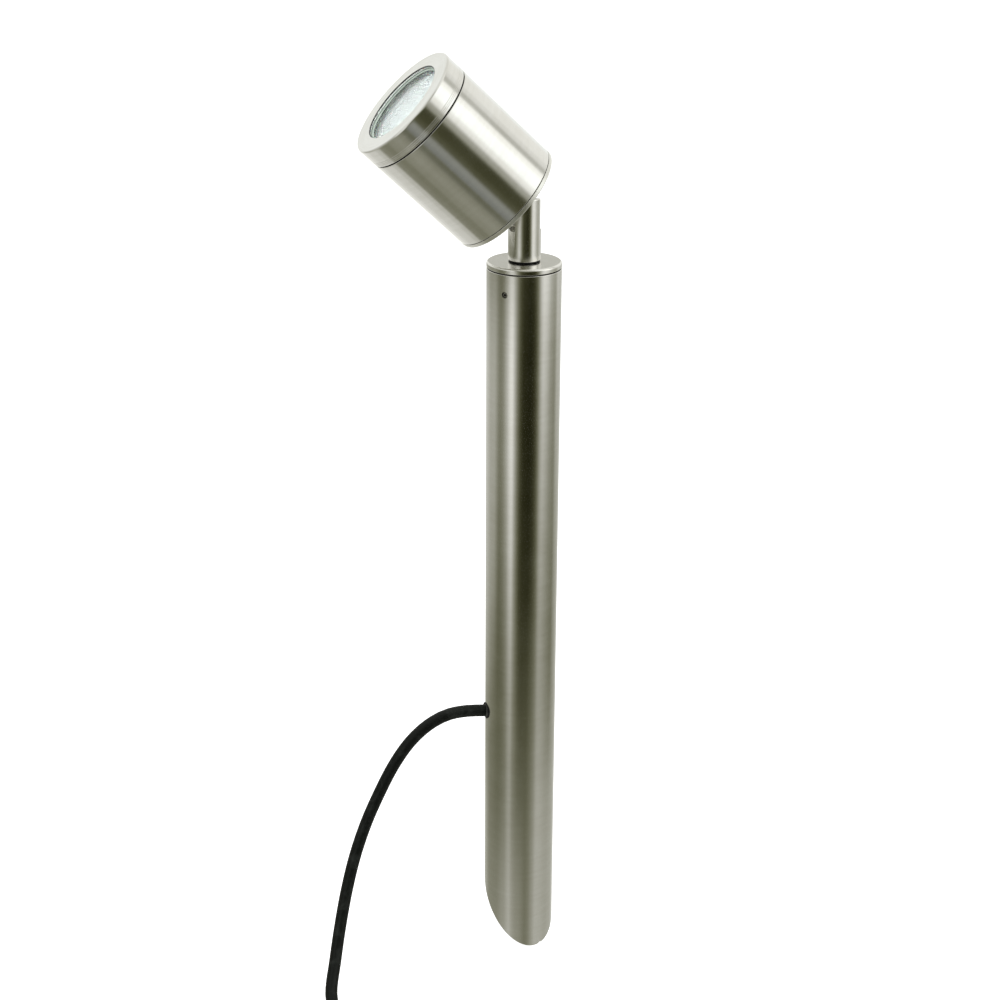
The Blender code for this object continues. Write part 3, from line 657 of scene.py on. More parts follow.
def cable_jacket():
    """Extruded cable jacket: satin black, faintly rippled, with rubbed patches."""
    g = Graph("cable_jacket", (0.006, 0.007, 0.006), 0.36, Specular_IOR_Level=0.16)
    rubbed = g.noise(120.0, 6.0, 0.72, distortion=0.6)
    grain = g.noise(4200.0, 2.0)
    tone = g.spread(rubbed, 0.0, 1.0, 0.5, 0.8)
    g.set("Base Color", g.blend(tone, (0.0045, 0.0055, 0.0045), (0.020, 0.023, 0.020)))
    g.set("Roughness", g.maths("ADD", g.spread(rubbed, 0.30, 0.46), g.spread(grain, -0.03, 0.03)))
    g.relief(grain, 0.00001, 0.3, over=g.bump(g.noise(190.0, 2.0), 0.00025, 0.35))
    return g.material


def black_plastic():
    """Moulded plastic with a spark-eroded texture."""
    g = Graph("black_plastic", (0.014, 0.014, 0.015), 0.4, Specular_IOR_Level=0.5)
    scuffs = g.noise(240.0, 6.0, 0.7, distortion=0.8)
    g.mottle(scuffs, (0.012, 0.012, 0.013), (0.035, 0.035, 0.036), 0.36, 0.52, reach=(0.5, 0.85))
    g.relief(g.cells(2600.0), 0.00003, 0.3)
    return g.material


def tie_nylon():
    """Black nylon of the hank's ties, slightly waxy, with flow lines."""
    g = Graph("tie_nylon", (0.018, 0.018, 0.018), 0.42, Specular_IOR_Level=0.5)
    flow = g.noise(700.0, 3.0, 0.6, distortion=1.2)
    g.mottle(flow, (0.014, 0.014, 0.014), (0.026, 0.026, 0.025), 0.36, 0.5)
    g.relief(flow, 0.00003, 0.3)
    return g.material


def clear_glass():
    """Toughened glass, faintly green, with a fine stipple that softens what is behind it."""
    g = Graph("clear_glass", (0.95, 0.99, 0.975), 0.26, Transmission_Weight=1.0, IOR=1.5, Alpha=0.85)
    stipple = g.noise(900.0, 3.0, 0.6)
    g.mottle(stipple, (0.955, 0.992, 0.98), (0.975, 0.997, 0.99), 0.22, 0.32)
    g.relief(stipple, 0.00001, 0.2)
    return g.material


def reflector_glass():
    """Pressed glass with a pale dichroic mirror, a little uneven from facet to facet."""
    g = Graph("reflector_glass", (0.88, 0.95, 0.92), 0.45, 0.25)
    uneven = g.noise(330.0, 2.0)
    bloom = g.spread(g.noise(45.0, 3.0), 0.0, 1.0)
    g.set("Base Color", g.blend(bloom, (0.85, 0.95, 0.91), (0.90, 0.96, 0.94)))
    g.set("Roughness", g.spread(uneven, 0.42, 0.54))
    g.relief(uneven, 0.00003, 0.3)
    return g.material


def ceramic():
    """Unglazed steatite with a sandy grain and grey specks."""
    g = Graph("ceramic", (0.80, 0.78, 0.72), 0.5)
    grain = g.noise(3600.0, 4.0)
    tone = g.maths("MULTIPLY", g.spread(grain, 0.6, 1.0), g.spread(g.cells(1500.0), 0.2, 1.0, 0.0, 0.16))
    g.set("Base Color", g.blend(tone, (0.60, 0.57, 0.50), (0.84, 0.82, 0.77)))
    g.set("Roughness", g.spread(grain, 0.42, 0.6))
    g.relief(grain, 0.00003, 0.4)
    return g.material


def silicone():
    """Cloudy silicone rubber that lets some light through."""
    g = Graph("silicone", (0.78, 0.80, 0.78), 0.42, Subsurface_Weight=0.4, Subsurface_Scale=0.002)
    g.mottle(g.noise(420.0, 3.0), (0.72, 0.75, 0.73), (0.84, 0.86, 0.84), 0.36, 0.5)
    return g.material


def potting_resin():
    """Cast black resin with a few bubbles at its face."""
    g = Graph("potting_resin", (0.02, 0.02, 0.02), 0.2, Coat_Weight=0.3)
    bubbles = g.spread(g.cells(900.0), 0.0, 1.0, 0.0, 0.12)
    g.set("Base Color", g.blend(bubbles, (0.05, 0.05, 0.05), (0.018, 0.018, 0.019)))
    g.set("Roughness", g.spread(g.noise(500.0, 3.0), 0.14, 0.28))
    g.relief(bubbles, 0.0001, 0.5)
    return g.material


def core_insulation(name, colour):
    """Extruded insulation of one core."""
    g = Graph(name, colour, 0.4)
    shift = g.noise(900.0, 3.0)
    g.mottle(shift, [0.7 * value for value in colour], [1.25 * value for value in colour], 0.34, 0.5)
    g.relief(shift, 0.00002, 0.3)
    return g.material


def core_brown():
    return core_insulation("core_brown", (0.16, 0.07, 0.03))


def core_blue():
    return core_insulation("core_blue", (0.03, 0.10, 0.35))


def brass():
    """Bright brass with a first bloom of tarnish."""
    g = Graph("brass", (0.78, 0.57, 0.26), 0.22, 1.0)
    tarnish = g.noise(700.0, 5.0, 0.65)
    g.mottle(tarnish, (0.80, 0.60, 0.28), (0.48, 0.33, 0.15), 0.16, 0.36, reach=(0.45, 0.8))
    return g.material


def tungsten():
    """Drawn tungsten wire, dark and finely scored."""
    g = Graph("tungsten", (0.30, 0.29, 0.28), 0.35, 1.0)
    g.mottle(g.noise(6000.0, 2.0), (0.24, 0.23, 0.22), (0.38, 0.37, 0.36), 0.28, 0.42)
    return g.material


def make_looks():
    makers = (brushed_steel, screw_steel, dark_steel, satin_steel, black_rubber, grey_rubber, cable_jacket,
              black_plastic, tie_nylon, clear_glass, reflector_glass, ceramic, silicone, potting_resin,
              core_brown, core_blue, brass)
    return {maker.__name__: maker() for maker in makers}


# ---------------- ground spike and cap

CUT_SLOPE = math.radians(50.0)
CUT_LOW_SIDE = math.radians(-76.0)
NICK_SIDE = math.radians(-67.5)
NICK_HALF_WIDTH = math.radians(2.6)
NICK_HEIGHT = 0.75
GRUB_HEIGHT = 377.0
GRUB_HOLE = 1.6
CABLE_HOLE = 4.3
FIRST_GRUB = math.radians(-138.0)
BELOW_IS_CUT = 10.0


def slanted_cut(outer):
    """A form that hangs the wall's lowest points on the slanted cut, with the small nick beside its tip."""
    def form(angle, radius, height):
        if height < BELOW_IS_CUT:
            off_nick = math.remainder(angle - NICK_SIDE, math.tau) / NICK_HALF_WIDTH
            height += math.tan(CUT_SLOPE) * (outer - radius * math.cos(angle - CUT_LOW_SIDE))
            height += NICK_HEIGHT * math.exp(-off_nick * off_nick)
        return radius, height
    return form


def grub_places():
    for i in range(3):
        turn = Matrix.Rotation(FIRST_GRUB + math.tau * i / 3, 4, "Z") @ Matrix.Rotation(math.pi / 2.0, 4, "Y")
        yield i + 1, Matrix.Translation((0.0, 0.0, GRUB_HEIGHT * MM)) @ turn


def make_spike_tube():
    size = Extent("spike_tube", UPRIGHT)
    wall = [(size.outer, size.high, 0.25), (size.outer, 0.0, 0.3), (size.inner, 0.0, 0.3),
            (size.inner, size.high, 0.25)]
    tube = turned("spike_tube_detail", rounded(wall), steps=2 * ROUND_STEPS, form=slanted_cut(size.outer))
    tools = [rod("cable_hole", CABLE_HOLE, 10.0, 30.0, CABLE_EXIT)]
    tools += [rod("grub_hole", GRUB_HOLE, 15.0, 24.0, place) for _, place in grub_places()]
    dress(carve(tube, *tools))


def make_pole_cap():
    size = Extent("pole_cap", UPRIGHT)
    corners = [(size.inner, size.high, 0.15), (size.outer, size.high, 1.25), (size.outer, 387.7, 0.25),
               (17.2, 387.7), (17.2, size.low, 0.4), (13.0, size.low, 0.3), (13.0, 383.6, 0.4),
               (size.inner, 383.6, 0.15)]
    cap = turned("pole_cap_detail", rounded(corners, steps=8))
    dress(carve(cap, *[rod("grub_tap", GRUB_HOLE, 11.0, 18.0, place) for _, place in grub_places()]))
    dress(plain_ring("cap_o_ring", UPRIGHT, (0.15, 0.15, 0.15, 0.15)))
    for number, place in grub_places():
        socket_screw(f"cap_grub_screw_{number}", place, socket=0.8, look="dark_steel")


def socket_screw(node, place, socket, look=None, high=None):
    """A grub screw with a cone point, a screw thread and a hexagon socket."""
    size = Extent(node, place)
    radius = size.outer
    high = high or size.high
    pitch = radius / 2.8
    corners = [(0.0, high), (radius - 0.35, high, 0.05), (radius, high - 0.35, 0.05)]
    corners += rows(radius, high - 0.4, size.low + 0.7, pitch / 6.0)
    corners += [(radius, size.low + 0.6, 0.05), (radius * 0.45, size.low, 0.05), (0.0, size.low)]
    thread = helical(size.low + 0.6, high - 0.4, pitch, pitch * 0.35, lambda r: r > 0.9 * radius)
    screw = solid(node + "_detail", corners, place, 48, thread)
    dress(carve(screw, rod(node + "_key", socket, high - 1.6, high + 1.0, place, steps=6)), look=look)


def make_grommet():
    size = Extent("cable_grommet", CABLE_EXIT)
    corners = [(3.45, size.high, 0.2), (4.5, size.high, 0.22), (4.5, 19.3, 0.08), (4.1, 19.3), (4.1, 16.2),
               (5.6, 16.2, 0.2), (5.6, size.low, 0.3), (3.45, size.low, 0.3)]
    dress(turned("cable_grommet_detail", rounded(corners), CABLE_EXIT, steps=SMALL_STEPS))


def make_inner_cable():
    route = smooth_route(INNER_ROUTE, 0.003)
    dress(wire("inner_cable_detail", route, CABLE_DIAMETER / 2.0))


# ---------------- swivel stem

SLOT_BOTTOM = 406.4
SLOT_WIDTH = 10.0
PIVOT_HOLE = 2.3
PIN_REACH = 7.4
STEM_SHOULDER = 391.5
STEM_SPIGOT = 6.0


def make_swivel_stem():
    size = Extent("swivel_stem", UPRIGHT)
    corners = [(size.inner, size.high, 0.2), (size.outer, size.high, 0.7), (size.outer, STEM_SHOULDER, 0.2),
               (STEM_SPIGOT, STEM_SHOULDER)]
    corners += rows(STEM_SPIGOT, 383.0, size.low + 0.5, 0.2)
    corners += [(STEM_SPIGOT, size.low + 0.4, 0.1), (5.6, size.low, 0.1), (size.inner, size.low, 0.2)]
    thread = helical(size.low + 0.4, 382.9, 1.2, 0.4, lambda r: 5.9 < r < 6.1)
    stem = turned("swivel_stem_detail", rounded(corners, steps=6), form=thread)
    slot = block("fork_slot", (60.0, SLOT_WIDTH, 60.0), middle=(0.0, 0.0, SLOT_BOTTOM + 30.0), bevel=0.8)
    front = Matrix.Translation((0.0, 0.0, PIVOT.z)) @ ACROSS
    hole = rod("pivot_hole", PIVOT_HOLE, -PIN_REACH, PIN_REACH, front)
    dress(carve(stem, slot, hole, bevel=0.15))
    rear = Matrix.Translation((0.0, 0.0, PIVOT.z)) @ ACROSS.inverted()
    for node, place in (("pivot_screw_front", front), ("pivot_screw_rear", rear)):
        socket_screw(node, place, socket=1.0, high=PIN_REACH - 0.1)


def make_stem_fastening():
    dress(plain_ring("stem_o_ring", UPRIGHT, (0.3, 0.3, 0.3, 0.3)))
    dress(plain_ring("stem_washer", UPRIGHT, (0.1, 0.35, 0.1, 0.1)))
    size = Extent("stem_lock_nut", UPRIGHT)
    corners = [(6.2, size.high - 0.5), (6.7, size.high), (size.outer - 1.2, size.high)]
    corners += [(size.outer, size.high - 0.7)] + rows(size.outer, size.high - 0.7, size.low + 0.7, 0.8)
    corners += [(size.outer, size.low + 0.7), (size.outer - 1.2, size.low), (6.7, size.low),
                (6.2, size.low + 0.5)]
    dress(turned("stem_lock_nut_detail", rounded(corners), form=hexagonal(size.outer, lambda r: r > 8.0)))
    for node in ("stem_lead_live", "stem_lead_neutral"):
        plain_rod(node, Matrix.Translation((*centre_of(node).xy, 0.0)), 0.12)


# ---------------- head: rear cap, body, bezel

LUG_WIDTH = 9.4
LUG_RADIUS = 6.0
THREAD_PITCH = 1.5
HOLDER_SCREW_OFFSET = 9.0
CORE_OFFSET = 1.1


def off_axis(x, y):
    """A place in the head, beside its axis."""
    return HEAD @ Matrix.Translation((x * MM, y * MM, 0.0))


def make_rear_cap():
    size = Extent("rear_cap", HEAD)
    rim_rear = 13.3
    rim_front = 15.5
    corners = [(7.0, size.high, 0.2), (11.0, size.high, 0.2), (11.0, 20.3), (27.4, 20.3, 0.4),
               (27.4, rim_front), (size.outer, rim_front, 0.2), (size.outer, rim_rear, 0.55), (2.2, rim_rear),
               (2.2, 17.0), (7.0, 17.0)]
    cap = turned("rear_cap_detail", rounded(corners), HEAD)
    outline = [(LUG_RADIUS, rim_rear + 1.5), (-LUG_RADIUS, rim_rear + 1.5)]
    for i in range(25):
        angle = math.pi + math.pi * i / 24
        outline.append((LUG_RADIUS * math.cos(angle), LUG_RADIUS * math.sin(angle)))
    cap = carve(cap, outline_block("lug", outline, LUG_WIDTH, HEAD), operation="UNION")
    tools = [block("lug_way", (40.0, 4.0, 40.0), HEAD, middle=(0.0, 0.0, 7.0 - 20.0), bevel=0.5),
             rod("lug_channel", 2.2, 6.0, 18.0, HEAD),
             rod("lug_hole", PIVOT_HOLE, -20.0, 20.0, HEAD @ ACROSS)]
    tools += [rod("seat_tap", 1.4, 18.8, 28.0, off_axis(side * HOLDER_SCREW_OFFSET, 0.0)) for side in SIDES]
    dress(carve(cap, *tools, bevel=0.2), look="satin_steel")
    dress(torus("rear_cap_o_ring_detail", 28.35, 16.0, 0.6, HEAD))


def make_resin_seal():
    size = Extent("resin_seal", HEAD)
    corners = [(0.0, size.high - 0.35), (4.5, size.high - 0.3), (6.2, size.high - 0.12),
               (size.outer, size.high, 0.05), (size.outer, size.low, 0.15), (0.0, size.low)]
    seal = solid("resin_seal_detail", corners, HEAD, SMALL_STEPS)
    places = [off_axis(0.0, side * CORE_OFFSET) for side in SIDES]
    dress(carve(seal, *[rod("core_way", 0.9, 10.0, 26.0, place, steps=PIN_STEPS) for place in places]))


def make_head_body():
    size = Extent("head_body", HEAD)
    bore = 28.75
    bottom = 64.0
    corners = [(bore + 1.35, size.high, 0.1), (size.outer, size.high, 0.28), (size.outer, size.low, 0.28),
               (size.inner + 2.0, size.low), (size.inner, size.low + 2.0, 0.2), (size.inner, bottom, 0.2),
               (bore, bottom)]
    corners += rows(bore, bottom + 0.2, size.high - 2.0, THREAD_PITCH / 8.0)
    corners += [(bore, size.high - 1.7)]
    inside = helical(bottom, size.high - 1.7, THREAD_PITCH, 0.3, lambda r: 28.5 < r < 28.8)
    dress(turned("head_body_detail", rounded(corners), HEAD, form=inside))


def make_bezel():
    """The bezel, with the fine turned lines behind its front band and the screw thread on its spigot."""
    size = Extent("bezel", HEAD)
    joint = 74.8
    spigot = 28.1
    bore = 26.0
    lip_back = size.high - 1.6
    line = 0.13
    corners = [(size.inner, size.high, 0.12), (size.outer, size.high, 1.1)]
    for at in (joint + 3.0, joint + 2.1, joint + 1.3):
        corners += [(size.outer, at + line), (size.outer - 0.11, at), (size.outer, at - line)]
    corners += [(size.outer, joint, 0.45), (spigot, joint)]
    corners += rows(spigot, joint - 0.1, size.low + 0.4, THREAD_PITCH / 8.0)
    corners += [(spigot, size.low + 0.3, 0.1), (spigot - 0.5, size.low, 0.1), (bore, size.low, 0.2),
                (bore, lip_back), (size.inner, lip_back, 0.1)]
    thread = helical(size.low + 0.2, joint - 0.6, THREAD_PITCH, 0.5, lambda r: abs(r - spigot) < 0.05)
    dress(turned("bezel_detail", rounded(corners, steps=6), HEAD, form=thread))
    dress(torus("bezel_o_ring_detail", 28.95, 74.05, 0.5, HEAD))


def make_lens():
    plain_rod("lens_glass", HEAD, 0.4, ROUND_STEPS)
    dress(plain_ring("lens_gasket", HEAD, (0.2, 0.2, 0.2, 0.2)), look="grey_rubber")
    # A thin black rubber lip lining the bezel's bore just behind its front face: a dark sheet put there as a
    # painted shadow line round the glass, where the bore's edge is in shade.
    front = Extent("bezel", HEAD)
    back = front.high - 0.7
    edge = front.inner
    corners = [(edge - 0.25, back), (edge - 0.03, back), (edge - 0.03, front.high - 0.12),
               (edge - 0.3, front.high - 0.24, 0.05)]
    dress(turned("lens_gasket_lip_detail", rounded(corners), HEAD), "lens_gasket", look="black_rubber")
    slot = block("spanner_slot", (60.0, 2.0, 1.6), HEAD, (0.0, 0.0, Extent("lens_retaining_ring", HEAD).low))
    dress(carve(plain_ring("lens_retaining_ring", HEAD, (0.15, 0.15, 0.2, 0.25)), slot))


# ---------------- lamp and its holder

FACETS_ROUND = 40
FACET_ROWS = 9
PIN_SPACING = 5.33
FILAMENT_TURNS = 14


def make_reflector():
    """The lamp's bowl, with flat facets pressed into its inner face."""
    size = Extent("lamp_reflector", HEAD)
    neck = 7.5
    wall = 1.3
    rim = size.high - 1.5
    depth = rim - size.low - 0.6

    def bowl_radius(t):
        return neck + (size.outer - 2.0 - neck) * math.sqrt(1.0 - t)

    inner = []
    for i in range(FACET_ROWS + 1):
        t = 1.0 - (1.0 - i / FACET_ROWS) ** 2
        inner.append((bowl_radius(t), rim - depth * t))
    outer = [(radius + wall, height - 0.55) for radius, height in inner]
    corners = [(size.outer - 1.2, size.high, 0.1), (size.outer, size.high, 0.3),
               (size.outer, size.high - 1.6, 0.3)]
    corners += outer + inner[::-1] + [(size.outer - 1.2, rim)]
    facet = math.tau / FACETS_ROUND

    def form(angle, radius, height):
        for inner_radius, inner_height in inner:
            if abs(radius - inner_radius) < 0.01 and abs(height - inner_height) < 0.01:
                radius *= math.cos(facet / 2.0) / math.cos(angle % facet - facet / 2.0)
        return radius, height

    profile = rounded(corners[:3], closed=False) + [Vector(point) for point in corners[3:]]
    dress(turned("lamp_reflector_detail", profile, HEAD, steps=4 * FACETS_ROUND, form=form,
                 sharp=math.radians(3.0)))


def make_lamp():
    plain_rod("lamp_cover_glass", HEAD, 0.25, ROUND_STEPS)
    size = Extent("lamp_capsule", HEAD)
    corners = [(0.0, size.high), (0.9, size.high - 0.5, 0.5), (2.2, size.high - 1.6, 1.5),
               (size.outer, size.high - 4.5, 2.5), (size.outer, size.low + 3.4, 1.0), (3.0, size.low, 0.3),
               (0.0, size.low)]
    dress(solid("lamp_capsule_detail", corners, HEAD, 48))
    size = Extent("lamp_base", HEAD)
    corners = [(0.0, size.high), (8.6, size.high, 0.3), (8.6, 44.0, 0.4), (6.4, 42.0, 0.4),
               (6.4, size.low, 0.3), (0.0, size.low)]
    base = solid("lamp_base_detail", corners, HEAD, 96)
    dress(carve(base, *[rod("pin_way", 0.95, 30.0, 42.3, place, steps=PIN_STEPS) for place in pin_places()]))
    for number, place in enumerate(pin_places(), 1):
        plain_rod(f"lamp_pin_{number}", place, 0.3)
    dress(plain_ring("lamp_cushion_ring", HEAD, (0.3, 0.3, 0.3, 0.3)))


def pin_places():
    return [off_axis(0.0, side * PIN_SPACING / 2.0) for side in SIDES]


def make_filament():
    """The filament across the capsule: a fine coil on two straight legs."""
    foot = Extent("lamp_capsule", HEAD).low + 1.2
    level = foot + 5.3
    half = 1.3
    coil = 0.35
    steps = FILAMENT_TURNS * 12
    points = [Vector((0.0, -half, foot))]
    for i in range(steps + 1):
        angle = math.tau * i / 12
        y = -half + 2.0 * half * i / steps
        points.append(Vector((coil * math.cos(angle), y, level + coil * math.sin(angle))))
    points.append(Vector((0.0, half, foot)))
    filament = wire("lamp_filament", [point * MM for point in points], 0.07 * MM, HEAD, resolution=2)
    filament.data.materials.append(tungsten())
    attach(filament, BODY_OF["lamp_capsule"])


def make_lamp_holder():
    size = Extent("lamp_holder", HEAD)
    corners = [(0.0, size.high), (size.outer, size.high, 0.5), (size.outer, size.low, 0.4), (0.0, size.low)]
    holder = solid("lamp_holder_detail", corners, HEAD, 96)
    tools = [rod("contact_way", 1.1, 20.0, 40.0, place, steps=PIN_STEPS) for place in pin_places()]
    screw_places = [off_axis(side * HOLDER_SCREW_OFFSET, 0.0) for side in SIDES]
    corners = [(0.0, 40.0), (2.6, 40.0), (2.6, 34.7), (1.5, 34.7), (1.5, 20.0), (0.0, 20.0)]
    tools += [solid("screw_way", corners, place, 48) for place in screw_places]
    dress(carve(holder, *tools, bevel=0.15))
    for number, place in enumerate(screw_places, 1):
        node = f"holder_screw_{number}"
        size = Extent(node, place)
        corners = [(0.0, size.high), (size.outer, size.high, 0.5), (size.outer, 35.0, 0.1), (1.2, 35.0, 0.1),
                   (1.2, size.low, 0.2), (0.0, size.low)]
        slots = [block("driver_slot", (*sides, 1.6), place, middle=(0.0, 0.0, size.high))
                 for sides in ((3.2, 0.55), (0.55, 3.2))]
        dress(carve(solid(node + "_detail", corners, place, 48), *slots))
    for node, side in zip(("head_lead_live", "head_lead_neutral"), SIDES):
        near = side * CORE_OFFSET
        far = side * PIN_SPACING / 2.0
        route = [(near, 0.9), (near, 8.0), (near, 16.0), (near, 22.0), ((near + far) / 2.0, 23.2),
                 (far, 24.6), (far, 28.5)]
        points = smooth_route([Vector((0.0, *point)) * MM for point in route], 0.5 * MM)
        dress(wire(node + "_detail", points, 0.8 * MM, HEAD, resolution=4))


# ---------------- connector and ties

def make_connector():
    size = Extent("connector_boot", CONNECTOR)
    low = size.low
    corners = [(3.6, low + 18.0, 0.2), (6.5, low + 18.0, 0.4), (6.4, low + 16.0)]
    for i in range(6):
        at = low + 14.6 - 2.1 * i
        radius = 4.9 + 1.3 * (at - low) / 14.6
        corners += [(radius + 0.15, at + 0.75, 0.15), (radius - 0.55, at + 0.45, 0.1),
                    (radius - 0.55, at - 0.05, 0.1), (radius + 0.05, at - 0.35, 0.15)]
    corners += [(4.8, low, 0.3), (3.6, low, 0.2)]
    dress(turned("connector_boot_detail", rounded(corners), CONNECTOR, steps=96))
    body_low = low + 18.4
    corners = [(0.0, low + 44.0), (5.6, low + 44.0, 0.4), (5.6, low + 36.0), (7.4, low + 36.0, 0.3),
               (7.4, low + 22.0, 0.2), (7.0, low + 21.6, 0.1), (7.0, low + 20.8, 0.1), (7.4, low + 20.4, 0.2),
               (7.4, body_low, 0.5), (0.0, body_low)]
    body = solid("connector_body_detail", corners, CONNECTOR, 96)
    pins = []
    for node in ("connector_pin_1", "connector_pin_2"):
        offset = (CONNECTOR.inverted() @ centre_of(node)).xy
        pins.append((node, CONNECTOR @ Matrix.Translation((*offset, 0.0))))
    sockets = [rod("pin_socket", 1.0, low + 38.0, low + 50.0, at, steps=PIN_STEPS) for node, at in pins]
    dress(carve(body, *sockets))
    for node, at in pins:
        plain_rod(node, at, 0.35)
    size = Extent("connector_nut", CONNECTOR)
    corners = [(6.0, size.high, 0.3), (8.2, size.high, 0.2), (size.outer, size.high - 0.8)]
    corners += rows(size.outer, size.high - 0.8, size.low + 0.8, 1.0)
    corners += [(size.outer, size.low + 0.8), (size.outer - 0.5, size.low, 0.2), (7.8, size.low, 0.1),
                (7.8, low + 36.4), (6.0, low + 36.4)]

    def grip(angle, radius, height):
        ends = min(1.0, (height - size.low - 0.6) / 1.5, (size.high - 1.4 - height) / 1.5)
        if radius > 8.6 and ends > 0.0:
            radius -= 0.42 * ends * (0.5 - 0.5 * math.cos(24.0 * angle)) ** 2
        return radius, height

    dress(turned("connector_nut_detail", rounded(corners), CONNECTOR, form=grip))


def round_box(wide, high, radius, steps):
    """Points round a box's rounded corners, as (place, outward) pairs, from the middles of its corners."""
    pairs = []
    for across, up, start in ((1, 1, 0.0), (-1, 1, 90.0), (-1, -1, 180.0), (1, -1, 270.0)):
        for i in range(steps + 1):
            turn = math.radians(start + 90.0 * i / steps)
            out = Vector((math.cos(turn), math.sin(turn)))
            pairs.append((Vector((across * wide, up * high)) + out * radius, out))
    return pairs


def band_section(width, thickness):
    """The strap's section, as (along the strap's width, outwards), with rounded edges."""
    soft = thickness * 0.35
    return [place for place, out in round_box(width / 2.0 - soft, thickness / 2.0 - soft, soft, 3)]


def make_tie(node):
    """A nylon tie round the hank's bundle: toothed strap, ratchet head and the stub of its tail."""
    middle, half, _ = hank_shape()
    place = centre_of(node)
    end = middle.x + math.copysign(half, place.x - middle.x)
    angle = math.atan2(place.y - middle.y, place.x - end)
    at = Matrix.Translation(place) @ Matrix.Rotation(angle, 4, "Z") @ ACROSS
    thickness = 1.0
    low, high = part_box("cord_hank")
    half_up = (high.z - low.z) / 2.0 / MM
    corner = CABLE_DIAMETER / 2.0 / MM
    path = round_box(BUNDLE_ACROSS / 2.0 / MM - corner, half_up - corner, corner + 0.35 + thickness / 2.0, 8)
    path = [pair for a, b in zip(path, path[1:] + path[:1]) for pair in between(a, b, 1.3)]
    shape = bmesh.new()
    rings = []
    for number, (point, out) in enumerate(path):
        ring = []
        for along, off in band_section(4.6, thickness - (0.18 if number % 2 else 0.0)):
            spot = point + out * off
            ring.append(shape.verts.new((spot.x * MM, spot.y * MM, along * MM)))
        rings.append(ring)
    for ring, following in zip(rings, rings[1:] + rings[:1]):
        for i in range(len(ring)):
            j = (i + 1) % len(ring)
            shape.faces.new((ring[i], ring[j], following[j], following[i]))
    strap = mesh_object(node + "_detail", shape, at)
    head = block(node + "_head", (6.2, 4.4, 5.2), at, middle=(4.0, half_up + 2.2 + 0.3, 0.0), bevel=0.5)
    tail = block(node + "_tail", (6.0, 1.0, 4.2), at, middle=(9.0, half_up + 1.7, 0.0), bevel=0.3)
    dress(carve(strap, head, tail, operation="UNION"))


def between(a, b, step):
    """Even steps from one (place, outward) pair towards the next, which is left out."""
    (start, out), (end, next_out) = a, b
    count = max(1, round((end - start).length / step))
    return [(start.lerp(end, i / count), out.lerp(next_out, i / count).normalized()) for i in range(count)]


def make_supply_cable():
    """The free cable from the grommet to its connector, with the spare length in the hank."""
    cable = wire("supply_cable", cable_route(), CABLE_DIAMETER / 2.0, resolution=8)
    dress(cable, "cord_lead", "cord_hank", "cord_tail")
    pieces = [bpy.data.objects[name + "_detail"] for name in (
        "cable_grommet", "hank_tie_1", "hank_tie_2", "connector_boot", "connector_body", "connector_nut",
        "connector_pin_1", "connector_pin_2")]
    for piece in [cable] + pieces:
        piece.visible_glossy = False


# ---------------- studio

# What the lower steel sees on a near screen: brightness in percent by azimuth, at seven heights. Azimuth 0 is
# at the camera's side. The values were set until the bands on the tube matched the photograph's.
SCREEN_RADIUS = 0.6
SCREEN_AZIMUTHS = (-180, -150, -120, -97, -80, -72, -62, -50, -40, -33, -26, -18, -10, 0, 20, 32, 40,
                   47, 55, 63, 75, 90, 105, 112, 125, 140, 155, 180)
SCREEN_ROWS = (
    (0.25, (46, 42, 24, 22, 11, 10, 14, 30, 52, 52, 36, 20, 8, 4, 2, 4, 13, 34, 80, 100, 90, 58, 45, 45,
            75, 60, 66, 75)),
    (0.18, (75, 70, 52, 54, 30, 27, 36, 68, 112, 110, 64, 26, 8, 2, 1, 2, 6, 20, 52, 70, 60, 37, 29, 29,
            54, 52, 66, 75)),
    (-0.03, (64, 60, 42, 36, 16, 16, 21, 31, 60, 68, 37, 18, 6, 3, 2, 4, 9, 18, 38, 42, 33, 25, 21, 20,
             35, 44, 60, 66)),
    (-0.10, (50, 48, 32, 20, 13, 13, 15, 24, 40, 46, 29, 17, 8, 5, 6, 11, 16, 22, 38, 38, 32, 25, 19,
             20, 35, 44, 66, 66)),
    (-0.17, (30, 32, 22, 17, 14, 14, 15, 20, 34, 38, 24, 18, 11, 8, 9, 15, 20, 26, 38, 39, 36, 29, 26,
             28, 37, 44, 62, 62)),
    (-0.25, (52, 48, 24, 20, 16, 16, 17, 20, 33, 35, 23, 20, 18, 16, 16, 22, 28, 35, 50, 52, 48, 44, 43,
             45, 46, 48, 74, 74)),
    (-0.34, (52, 48, 30, 30, 31, 34, 39, 42, 52, 57, 47, 40, 36, 34, 22, 26, 36, 42, 52, 51, 50, 46, 44,
             46, 47, 50, 74, 74)),
)
